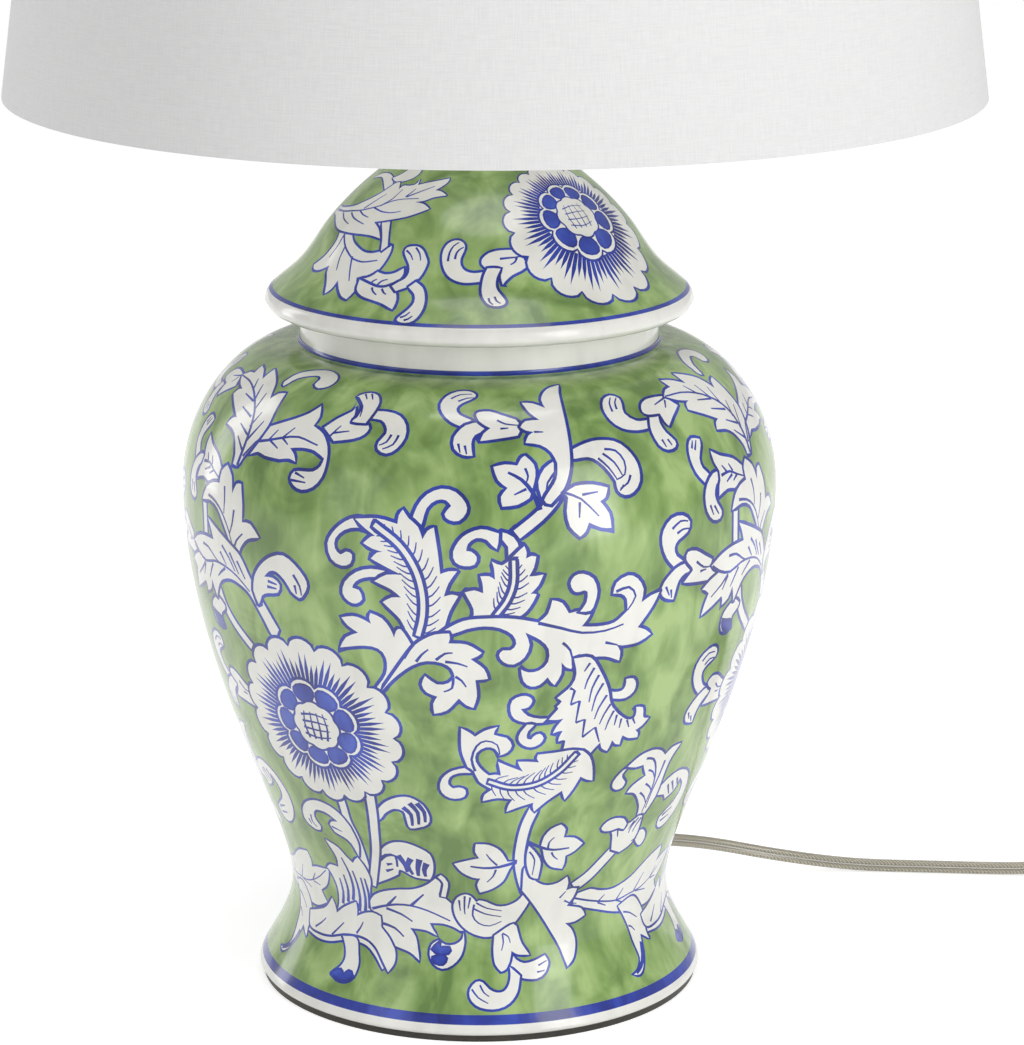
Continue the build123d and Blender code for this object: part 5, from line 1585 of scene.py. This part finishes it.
  21,143.5 21.3,145.3 | 21.3,145.3 28,145.6 34,146 38.5,145 | 38.5,145 41.5,142 43.5,137 44.8,130
  | 44.8,130 42,131 39.3,132.8 | 39.3,132.8 37,127 34.2,122 | 34.2,122 33.3,124.5 32.5,126.8 |
  32.5,126.8 27,122.5 22,117.3 | 22,117.3 21.3,120 21.3,122 | 21.3,122 16,120.3 10.8,118 |
  10.8,118 11.5,121.5 13,124.3 | 13,124.3 7,125.2 1.3,123.8 | 1.3,123.8 2,127 5,129.6 | 5,129.6
  0,133.5 -2,138.5 -4.3,140.5
V.9 -1.5,138.5 -2.8,144 -1,150 2.3,152.3 6.3,150.5 7.3,146
H8,13 3.5,133.5 12,130.3 22,131.3 30,136.5 36,144
S1.2 3.5,133.5 12,130.3 22,131.3 30,136.5 36,144
S3.4 -59.6,120 -59.3,114 -59,106 -57,98 -55.8,88 -55,74
F -58.5,103 -62,108.5 -67,112 -74,113 -81,110.5 -86,105.5 -87.5,100 -85.5,97 -81.5,95.3 |
  -81.5,95.3 -78,96 -77,98.5 | -77,98.5 -79,101.5 -79,104.5 -76.5,107.5 -71,107.7 -67.5,106
  -65,104 | -65,104 -68.5,103.3 -70.3,101.3 | -70.3,101.3 -68.5,97.5 -64,95.8 -60.5,93 -58,86 |
  -58,86 -56.5,94 -58.5,103
V.9 -84,100.5 -83.3,97.5 | -81.5,103.5 -82,99.5 -79.8,97 | -69.5,100.3 -64,98.8
F -42.5,115.5 -38.5,120 -33,123.3 -27.5,124 -22.5,120.5 -20.3,114.5 -21.3,110.5 -25,108.5
  -29,107.5 -30,110 | -30,110 -30.3,113.5 -31,116.5 -35,117.2 -39.5,114 -42.5,110
V2 -31,118.5 -28,115 -28,109
V2 -28,121 -25,116.5 -25.2,110 | -25,121.3 -22.3,117 -22.3,111.5
F -46,91 -43,95 -38,98.3 -32,98.8 -26,96.5 -22,93.5 -20.8,88 -21.5,82 -23,78.5 | -23,78.5 -30,79
  -34.5,81.5 | -34.5,81.5 -37.5,82.5 -38.5,79.5 | -38.5,79.5 -43,76.5 -50,72.5 | -50,72.5 -48.5,80
  -47,87
V2.6 -37,91 -34.3,86 -33.8,81.5 | -31,90 -33,85.5 -31,80.5 | -27,90 -28.3,84.5 -28.5,80 | -23.8,88
  -25.3,84 -25,80
V1.8 -46.8,86.5 -43,90 -38.3,90.3 -38.3,84
V1.4 -44.5,80.5 -40.5,82.3 | -43.5,84.5 -40.5,85.5
S3.6 -44.5,126 -45,115 -46,105 -47.8,92 -51.5,78 -53.8,70
B34.8 -62.5,151.5
F -154,66 -147,67 -142,65 -134,63.5 -127,64.5 -120,67 -113,71.5 -106,75.5 -97,77.8 | -97,77.8
  -95.8,73 -97.3,68.5 | -97.3,68.5 -92,70.3 -86,71.2 -81.5,72 | -81.5,72 -84,66 -87,61 -93,56.5 |
  -93,56.5 -91.5,53.5 -89,50.5 | -89,50.5 -97,46.5 -103,45.8 -109,46.5 -115,48.5 | -115,48.5
  -115.3,46.8 -115.5,45.5 | -115.5,45.5 -122,47.5 -131,50 -140,53.3 -150,57 -156,60
V1 -156,63.5 -148,60.5 -138,57.5 -128,55.5 -118,56.5 -108,57.3 -100,60 -92,64.5 -84.5,70.5
V.9 -141,57.8 -137,61.3 | -141,57.5 -135,54.3 | -128,55.8 -124,61.5 | -128,55.5 -121,52 |
  -114.5,57 -108.5,66 | -113,56.5 -103,54.5 | -100,60 -95.5,65.5 | -99.5,59.5 -93,59
F 78,51.5 82,46 85.5,38.5 87,30 88,21 84,16 80,14.7 | 80,14.7 84,13.8 88,16.5 92,23 94,31.8 |
  94,31.8 97,29.8 100.3,27.3 | 100.3,27.3 99.3,32 100,40 97,47 89,54
V.9 82.5,47 88,45 93.8,40.8 | 86,38.5 88,37.5 90.3,34.8
V2.4 93,28 90.5,21.5 86.5,17 82,14.8
S2 -103,32 -93,31 -84,32 -75,35 -67,36.5 -59,35.6 -53,31.5 -47.5,25.5
F -81.5,46.8 -79,53 -78,62 -80,70 -82.5,73 | -82.5,73 -79,75.8 -73.5,75.8 | -73.5,75.8 -72.8,82
  -76.8,91 | -76.8,91 -70,88.5 -66,84 -62.8,81 | -62.8,81 -61,83.5 -59,85.3 | -59,85.3 -56,80
  -54.5,73 -56.3,65 -57,54 | -57,54 -61.5,51.8 -66.8,48.8 | -66.8,48.8 -66.3,53 -66.5,57 |
  -66.5,57 -74,51.5 -81.5,46.8
V1.7 -76,53.5 -74.3,61 -74.8,69 | -72,55.5 -70.5,63 -71.3,72 | -68.3,57.5 -66.5,65 -67,74
  -69.5,82.5 | -64.8,52 -63.3,60 -63.3,68 -64.5,76 | -61,53 -59.8,61 -60.3,73 | -58,55 -57.3,64
  -58,73
F -75.5,36 -72.3,31 -70.8,26.5 -71.3,23 -73.5,19.5 -76.5,17 | -76.5,17 -72,14.8 -66.5,15 -63,18
  -62,24 -63.5,29.5 -66.5,37
P -75.6,17.2 -71.5,19.5 -69,17.5 -66.5,20 -64,18.8 -66.8,15.8 -72,15.6
F -106,41 -98,43.8 -91,47 -87.5,50.5 -84.3,54.6 | -84.3,54.6 -82.5,51 -81.5,46.8 | -81.5,46.8
  -75,52 -66.5,57 | -66.5,57 -66.3,53 -66.8,48.8 | -66.8,48.8 -61,52 -55,53.3 -50.8,52.5 |
  -50.8,52.5 -50.5,49.5 -52,47 | -52,47 -46.5,41.5 -43,35 -42.5,29 -45,24 | -45,24 -49,29 -54,35
  -60,38.3 -67,38.8 -75,37.5 -84,34.3 -93,33 -103,33.8
V1.1 -98,34.5 -93.5,38 -90,41.5 | -83.5,34.5 -79.5,39 -75.8,43 | -66.8,39.5 -64.5,43 -62.8,46.5
F -57,60 -54,64 -48,67.5 -40,70 -32,71.5 -25,75 -19,80.8 | -19,80.8 -17,80 -17.3,75 -17.8,69 |
  -17.8,69 -14,65 -10.5,60.5 -8,53 -7.8,47.5 | -7.8,47.5 -12,50.5 -18,52.5 -25,52.3 | -25,52.3
  -23.5,49 -21.3,45.5 | -21.3,45.5 -27,48 -35.5,48.3 | -35.5,48.3 -32.5,44 -31,38 -29.8,32 |
  -29.8,32 -35,35.5 -43,37.5 | -43,37.5 -46,42 -50.5,46.5 | -50.5,46.5 -50.5,50 -50.8,52.8 |
  -50.8,52.8 -54,54 -57,55
V1.3 -56.5,55.5 -50,58.3 -42,60.8 -34,61.3 -26,59.5 -19,56.5 -14.5,54.3
V1.4 -47,59.5 -41.5,65.8 | -34,61.5 -27,69 | -48,57.5 -40,55.5 -34,52 | -50.5,48.3 -44,47 -38.8,43
S2.2 -18.5,81 -15.8,77 -17.3,68.5
F -8,48 -7.5,43 -9,36 -13,31 -18,28.8 -22.5,31 -24.8,35.5 -24,40.5 -20.5,43.3 | -20.5,43.3 -17,41
  -12,41.5 -8.5,44.5
P -23.5,38 -20.5,41.5 -19.5,39.3 -15,39.5 -15.5,37 -20,36.5
P -23,34 -19,35.3 -16.5,34 -18,31.3 -21.5,31.8
F 22,71 18.5,66 13,63.3 8,63.5 3.5,66 0,67 -1.5,65.8 | -1.5,65.8 -4,69.5 -7,70.5 -10.5,68.5
  -12.5,64 -12,58 -9.3,52.5 -5,48.5 0,46.3 5,45.8 11,48 16.5,52 21,58.5 24.3,66
V.9 -1.5,65.5 3.5,62.3 11,60.5 | -2.8,62 3,58.8 10.8,57 | -2.5,64.5 -3.3,58 -0.5,53.5 5,51.8
  11,54.3 | -9.8,67 -9.3,60.5 | -7,69.5 -7.3,62 -7,58.5 | -4.3,68.8 -5.5,62
F 16,37 18,33.5 22,31.3 27,32 32.8,34.3 | 32.8,34.3 34.3,30.5 31.8,25.5 27.5,23.2 21,24 16.5,26.5
  14,30 15.3,34
V.8 29,29.5 33.5,31.5 | 28,26.3 32,26.8
F 7.5,46.3 7,38 7.8,31.5 10.5,27.8 | 10.5,27.8 13,29 15,33 16,38 | 16,38 19,36 25,35.3 | 25,35.3
  21,42 19.3,48 17,52.5
V.8 11.5,47 12,42.5 11,38.3 | 11.5,47.5 14.5,45.5 15.5,42
F 14.8,30 15,26 14,21.5 11.5,18.3 8,17.8 4.5,19.5 1.5,22.8 -1.5,23 -4.3,19.5 -4.3,15.5 -1.5,12
  3,10.3 8.5,10.3 13.5,12.5 17.5,17.5 19.5,25.3 | 19.5,25.3 17,27.8 14.8,30
V.8 -3.5,19.5 -0.5,15.5 4,12.8 | 0.3,21.5 2,18 4.5,16
S5.4 47,70.5 54,75.5 59.5,81.5 65,88
F 20.5,72 25,65.5 31,56 36.5,46.5 41,37.5 44,27 | 44,27 48,31 50,38.5 48.5,45 44.5,49.5 |
  44.5,49.5 50,49.5 55.8,52 | 55.8,52 53,56.5 44.5,59.5 | 44.5,59.5 47.5,64 49,69 | 49,69 46,69.8
  43,69 | 43,69 43.5,73.5 42.3,77.5 | 42.3,77.5 38,74.5 33,73.8 28.5,75.5 24,80 20.5,86
V.9 42.8,63 46,61 50,60 | 40,65 43,68.5
F 21.5,98.5 25,94 27.8,88 27.5,78.5 | 27.5,78.5 24,80 21.5,87 21,94
V.8 22,95 24.8,90 24.5,81
F 16,90 12.5,90 | 12.5,90 9,96.5 4,100 -1.5,100.5 | -1.5,100.5 -1.8,96 0,92.3 | 0,92.3 -5,91
  -11.3,88.8 | -11.3,88.8 -8,84 -3,80.8 0.5,80.3 | 0.5,80.3 -1,76.5 0.3,71.8 | 0.3,71.8 6,74
  11,78.5 13.5,85.3
V1.6 16.5,89.5 9,87 2,86.5 -4,87.5
V.9 8,88 5,91.5 3,94.8 | 7.5,85.5 6.3,81.5 3.5,78
F 27,98 27.8,103 30.5,107 34.5,108.8 | 34.5,108.8 37,106 36.8,101.3 | 36.8,101.3 42,100.3
  46.8,96.3 | 46.8,96.3 43.5,92.5 39.3,90.3 | 39.3,90.3 39.5,86 38.8,82.8 | 38.8,82.8 33,85
  29.5,90 28.3,94.5
V1.6 20.5,101 27,97 33,94.8 40.5,94.8
V.9 30.3,96 30.5,99.5 32.5,102 | 32.3,93.5 33.5,91 35.8,88.8
F 83,117 87,120.3 93,122.3 99,121.3 105,117.5 109,110.5 109,103 105.5,96.5 100.5,92.5 95.5,91.8
  92.3,94.5 92,98.5 | 92,98.5 96,101.5 101,105 103.3,109.5 102,114 98,117.5 | 98,117.5 96.5,112
  90.5,109 | 90.5,109 88.3,112 83,113.3
V1.2 89,117 92.5,111 | 91.5,118 95.5,112 | 95,118.5 98.8,112.3 | 94,98.8 101,101.3 | 94,95.8
  100.5,97.3
F 60,133.5 57,131 54.8,127.5 55,124.5 57.3,122.8 60,123.3 60.8,125.8 59.3,127.7 58.3,130.3
  61,134.5
F 74,104.5 73.3,110 70,116 67,119 63.3,119.8 | 63.3,119.8 65.5,123 71.3,126.5 | 71.3,126.5
  69.3,130 68.2,132.5 | 68.2,132.5 64,132.3 60,133.5 | 60,133.5 65,137.5 71,138.8 76,137.3
  79.3,134.3 | 79.3,134.3 82.5,137 87.8,137.5 | 87.8,137.5 84.3,132 83,126 82.8,119 82,112
  77.5,104
V1 69,135.3 73,134 76,129 77.8,121 77,112 76.3,106 | 80.5,131.5 79.8,124 78.5,117 77.8,108
V.9 72,129 75,127.3 77,124 | 72.8,122 76,119.5 77.8,117 | 71,118 74.3,115 76.8,111
F 77.5,94.5 81,95.5 84.3,92.5 85.3,89 84,86 81.5,86.5 78,90.5
F 64,88.5 63,93 62,97.5 60,101 | 60,101 64,101 68.5,102 | 68.5,102 71,102 75,104.5 77.5,104 |
  77.5,104 78,99 78,94.5 | 78,94.5 76,89 70,85.8 68.5,86.3 64,88.5
V.9 75.5,103.5 72.5,99.5 71.8,96 | 77.3,103 75.3,99.5 74.3,96 | 73.3,102.5 71,98.5 | 64.3,100.5
  65.5,95.5 | 78.5,91.5 75.5,90.3
F 68.8,102 66,105.5 61,107 57,106 54.8,103 56.8,100.8 61,100.3 64.5,100.8 67.8,99.2 68.8,102
"""

# One repeat of the lid's scroll, written the same way.
LID_SCROLL = """
F -137,110 -128,116 -118,118.2 -110,117.5 -101,114.2 -93.5,106.5 | -93.5,106.5 -96.5,98.7 |
  -96.5,98.7 -104,103.5 -112,108 -122,111.3 -132,109.5 -137,106
F -103,114.5 -98,119 -94,125 -91.5,132 | -91.5,132 -84,133.5 -72,133 | -72,133 -71.5,127 -74,121
  -80,115.5 -88,112.3 -95,111.8 -103,114.5
F -98.5,58 -95,55 -91,52 -84,49 -77,47 -70,47.5 -64,50 -59.5,53 | -59.5,53 -58.5,54 -57.8,50
  -59,44 -61,39 -64,34 -68,31.5 -73.5,30.3 | -73.5,30.3 -71.5,26 -71.5,22 -73,17 | -73,17 -77,18
  -82,21.5 -87.5,27 | -87.5,27 -88,21 -90,17.5 | -90,17.5 -96,25 -101,30 -102.5,34 | -102.5,34
  -107,31 -112,29 -117,29 -120,31 | -120,31 -114,37.5 -111,44 -110,50 -112,58
V1.5 -106.5,57 -103,53 -97,48 -90,44 -84,41.5 -76,40.8 -70,42 -65,43.3
V1.4 -105.5,56 -105,48 -107.5,38.5 | -97,48 -96.5,40 -93.5,32.5 | -86,43 -83,35.5 -79,28
F -83.5,69.7 -76,71.5 | -76,71.5 -72,66 -68.5,57 | -68.5,57 -73,62.5 -78,66.5 -83.5,69.7
F -76,71 -69.5,73.5 | -69.5,73.5 -66,65 -61.5,53.5 | -61.5,53.5 -65,49.5 | -65,49.5 -68.5,59
  -76,71
F -150,70.5 -140,71.5 -130,74 -120,77.6 -113,82.4 -104.7,89.4 -98.8,96.5 -94.7,103.5 -91.2,110 |
  -91.2,110 -87,111.8 -84,108 -81.2,103.5 | -81.2,103.5 -78.8,108.5 -72,109.5 -66,112.5 -64.7,119
  | -64.7,119 -63,111.8 | -63,111.8 -53,116.5 -42.4,120.6 -31.8,124.7 | -31.8,124.7 -32.6,118.5
  -37.6,111.8 -41.8,107.6 | -41.8,107.6 -35.5,106.5 -29.4,102.4 | -29.4,102.4 -40,99.4 -48.2,94.7
  -55.9,92.4 | -55.9,92.4 -47,91.2 -40.6,87 | -40.6,87 -49.4,81.8 -57.6,77.6 -69.4,73.5 -83,69.4 |
  -83,69.4 -75.3,64.7 -70,58 | -70,58 -78,59 -86,58.8 -95,58 -105,57.3 -115,57 -122,58 -130,60.5
  -140,63.5 -150,64.5
V1.7 -148,67.5 -130,70 -118,73 -106,76 -95,80.5 -88,84 -80,89.5 -72,93 -64,94.8 -54,96.5
V1.5 -104.5,78 -100,84 -91.2,96 | -88,83.5 -80.5,92 -76.5,104 | -68,96.5 -65,101.5 -62.4,107 |
  -67,96.5 -55,105 -44,112.5 | -93,81 -82,79 -72,79.5 -64.5,82 | -107,75.5 -100,73 -92,72 |
  -117,71.8 -108,68.5 -92,66 | -130,69 -120,65 -109,63
F -73,30.5 -68,31.5 -64,34 -62,36.3 | -62,36.3 -57,35.3 -51,36.5 -45.5,40.3 | -45.5,40.3 -44.8,37
  -46.3,33.3 -50,29.5 | -50,29.5 -53.5,27.3 -59,26.8 -66,28.3 -73,30.5
F -72,30 -70.5,24 -65,20.5 -58,19 -51,17.5 -44,14.5 | -44,14.5 -43.8,19 -45,23.5 -49.5,29.5 |
  -49.5,29.5 -53,27.5 -58,26.8 -65,28.3 -72,30
V1.3 -63.8,28.3 -62.3,30.5 -60.3,31.8 | -59,28 -57,31 -53.5,32.5 | -61.5,26.5 -59.5,24 -56.5,22.3
  | -55,26.5 -53,24.3 -51,23.3
F -49.5,28.8 -46.5,31.5 -43,34 -41.5,38 -42.5,42.5 -46,47.5 -48,51 -47,54 -43,55.3 -39,55
  -35.5,52.5 -33,48.5 -31.5,45 -33,38.5 -36,33 -40,29.3 -46.3,26 | -46.3,26 -49.5,28.8
V1.3 -47,52 -43.5,49.5 -41,46 | -41,54.5 -37.5,50.5 -36,46
F -39.5,29 -35,25 -33.8,20 -35.5,15.5 -38.5,11 -39.5,8.5 -37,7.2 -33,7.5 -30,10.5 -28.3,17 -29,24
  -31.5,29.5 -36,32.5 | -36,32.5 -39.5,29
V1.2 -38.3,10 -36,11.3 -34.3,13.8 | -36,8.5 -34,9.5 -32.5,11.5
F 4,40.3 -3,39.3 -8,40.5 -11,44 -11.4,48.5 -9.8,53 -9.2,57.5 -12,60.8 -16,61.2 -20,59 -22.5,54.5
  -22.8,48.5 -21,42 -17.5,37 -12.5,34.2 -7,33.3 0,34 4,34.2
V1.4 -19,46.5 -18.6,52 -16.5,57 -13,59.8 | -14.8,48 -14.2,52 -12,55 -9.8,56.3
F 4.5,42 1.5,45 1.8,48.5 5.5,52 11,53.8 17,54.2 23,54 27.5,54.5 | 27.5,54.5 27,48 29,43 | 29,43
  24,40 19,37.8 14.5,34 13,32 | 13,32 12.3,36.5 13,42 | 13,42 9,42.3 4.5,42
V1.4 12.5,48.3 18,48.8 22.5,49 27,50 | 23,49 21.5,46 18.5,44.3
F 4.8,42.3 2.8,38 1.5,32 1.3,27 2.8,22.5 5.5,19.5 9.5,18.8 12.5,19.8 13.5,21.8 12,25 9.8,28.5 9,32
  9.8,36.5 12.5,42 | 12.5,42 8.5,42.4 4.8,42.3
V1.3 4.8,24 5.3,21.5 7,19.8 | 8,24.8 9,22 11,20.5
B62,19,9 80,76
"""


@dataclass(frozen=True)
class Glaze:
    """Glossy glaze on stoneware, whose colour drifts where it was brushed thick or thin."""

    name: str
    colour: tuple[float, float, float]
    light: tuple[float, float, float]
    dark: tuple[float, float, float]
    roughness: float = 0.2

    def build(self) -> bpy.types.Material:
        """Makes the material."""
        shader = Shader(self.name)
        broad = shader.noise(30.0, 3, distortion=1.2)
        brushed = shader.noise(1.0, 3, shader.stretched((90.0, 90.0, 30.0)), 0.6)
        level = shader.math("MULTIPLY", shader.math("ADD", broad, brushed), 0.5)
        thick = shader.blend(
            shader.between(level, 0.38, 0.5), linear(*self.dark), linear(*self.colour)
        )
        shader.set(
            Base_Color=shader.blend(shader.between(level, 0.5, 0.62), thick, linear(*self.light)),
            Roughness=self.roughness,
            Coat_Weight=0.35,
            Coat_Roughness=0.07,
            Normal=shader.raised(shader.noise(85.0, 2), 0.35, 0.0004),
        )
        return shader.material


class Glazes(Enum):
    """The pot's glazes, in the order of the tints."""

    GREEN = Glaze("green_glaze", (136, 167, 94), (168, 196, 124), (100, 132, 66))
    WHITE = Glaze("white_slip", (238, 237, 231), (242, 241, 236), (230, 229, 224))
    COBALT = Glaze("cobalt_line", (34, 54, 156), (52, 76, 186), (24, 38, 122))
    PETAL = Glaze("cobalt_wash", (46, 70, 176), (70, 96, 200), (34, 52, 150))


@dataclass
class Pottery:
    """The thrown jar and its lid, painted with a repeating scroll in white slip and cobalt."""

    rod_hole: float = 5.5
    jar_pitch: float = 204.0
    lid_pitch: float = 314.16

    def build(self) -> None:
        """Makes both pots."""
        materials = [glaze.value.build() for glaze in Glazes]
        for pot in (self.jar(), self.lid()):
            pot.build(materials)

    def jar(self) -> Turned:
        """The jar: spread foot, waist, belly, shoulder and neck, with three repeats round it."""
        foot, waist, belly, shoulder = (89.9, 4.6), (76.1, 39.5), (118.0, 204.8), (72.7, 261.6)
        belly_inside, bottom, foot_inside = (112.0, 204.8), (70.1, 38.9), (82.9, 2.4)
        outer = np.vstack(
            [
                bezier(foot, (88.3, 9.8), (76.1, 24.5), waist),
                bezier(waist, (76.1, 67.0), (118.0, 132.3), belly),
                bezier(belly, (118.0, 232.8), (98.1, 261.6), shoulder),
                arc((72.7, 263.6), 2.0, 270, 180),
                [(70.7, 263.6), (70.7, 275.6)],
            ]
        )
        inner = np.vstack(
            [
                arc((69.3, 275.6), 1.4, 0, 90, 4)[1:],
                arc((66.1, 275.6), 1.4, 90, 180, 4),
                [(64.7, 275.6)],
                bezier((64.7, 255.6), (92.0, 253.0), (112.0, 232.8), belly_inside, count=12),
                bezier(belly_inside, (112.0, 132.3), (70.1, 67.0), bottom, count=16),
                [bottom, (self.rod_hole, 38.9), (self.rod_hole, 33.4)],
                bezier((70.1, 33.4), (71.0, 24.5), (81.5, 9.8), foot_inside, count=8),
                [foot_inside],
                arc((87.7, 4.6), 2.2, 270, 360, 4),
            ]
        )
        brush = Brush(self.jar_pitch, line=1.25, weight=1.2)
        brush.draw(JAR_SCROLL)
        bands = (
            (0.0, 3.0, Tint.WHITE),
            (3.0, 7.5, Tint.COBALT),
            (302.3, 305.2, Tint.COBALT),
            (305.2, 400.0, Tint.WHITE),
        )
        return Turned(
            "painted_jar", "jar_body", outer, inner, repeats=3, brush=brush, bands=bands
        )

    def lid(self) -> Turned:
        """The domed lid, with two repeats round it."""
        rim, ledge, bell, crown = (84.35, 278.6), (82.6, 282.6), (62.6, 304.4), (14.0, 340.0)
        outer = np.vstack(
            [
                bezier(rim, (84.4, 280.3), (83.9, 281.6), ledge, count=8),
                bezier(ledge, (72.05, 291.5), (71.0, 291.3), bell),
                bezier(bell, (55.2, 315.9), (30.7, 340.0), crown),
                [crown],
            ]
        )
        inner = np.vstack(
            [
                [(self.rod_hole, 340.0), (self.rod_hole, 335.0)],
                bezier((14.0, 335.0), (29.0, 335.0), (51.0, 313.2), (58.4, 301.7), count=16),
                [(58.4, 301.7), (58.6, 290.0), (58.9, 269.0), (63.5, 269.0), (63.5, 277.0)],
                [(79.5, 277.0), (80.6, 274.7), (82.9, 275.9)],
            ]
        )
        brush = Brush(self.lid_pitch, line=1.7, weight=1.1)
        brush.draw(LID_SCROLL)
        bands = ((0.0, 5.3, Tint.WHITE), (5.3, 7.5, Tint.COBALT))
        return Turned(
            "painted_lid", "jar_lid", outer, inner, repeats=2, brush=brush, bands=bands
        )


def main() -> None:
    """Builds the studio and each sub-assembly."""
    logging.basicConfig(level=logging.INFO, format="%(name)s: %(message)s")
    bpy.context.scene.view_settings.view_transform = "Standard"
    Studio().build()
    Pottery().build()
    Cord().build()
    for finish, names in NODE_FINISHES.items():
        material = finish.value.build()
        for name in names:
            dress(name, material)
        log.info("%s: %d nodes", material.name, len(names))
    linen = Linen("shade_linen", (230, 230, 229), (214, 214, 214)).build()
    for name in ("shade_fabric", "shade_top_hem", "shade_bottom_hem"):
        dress(name, linen)


if __name__ == "__main__":
    main()
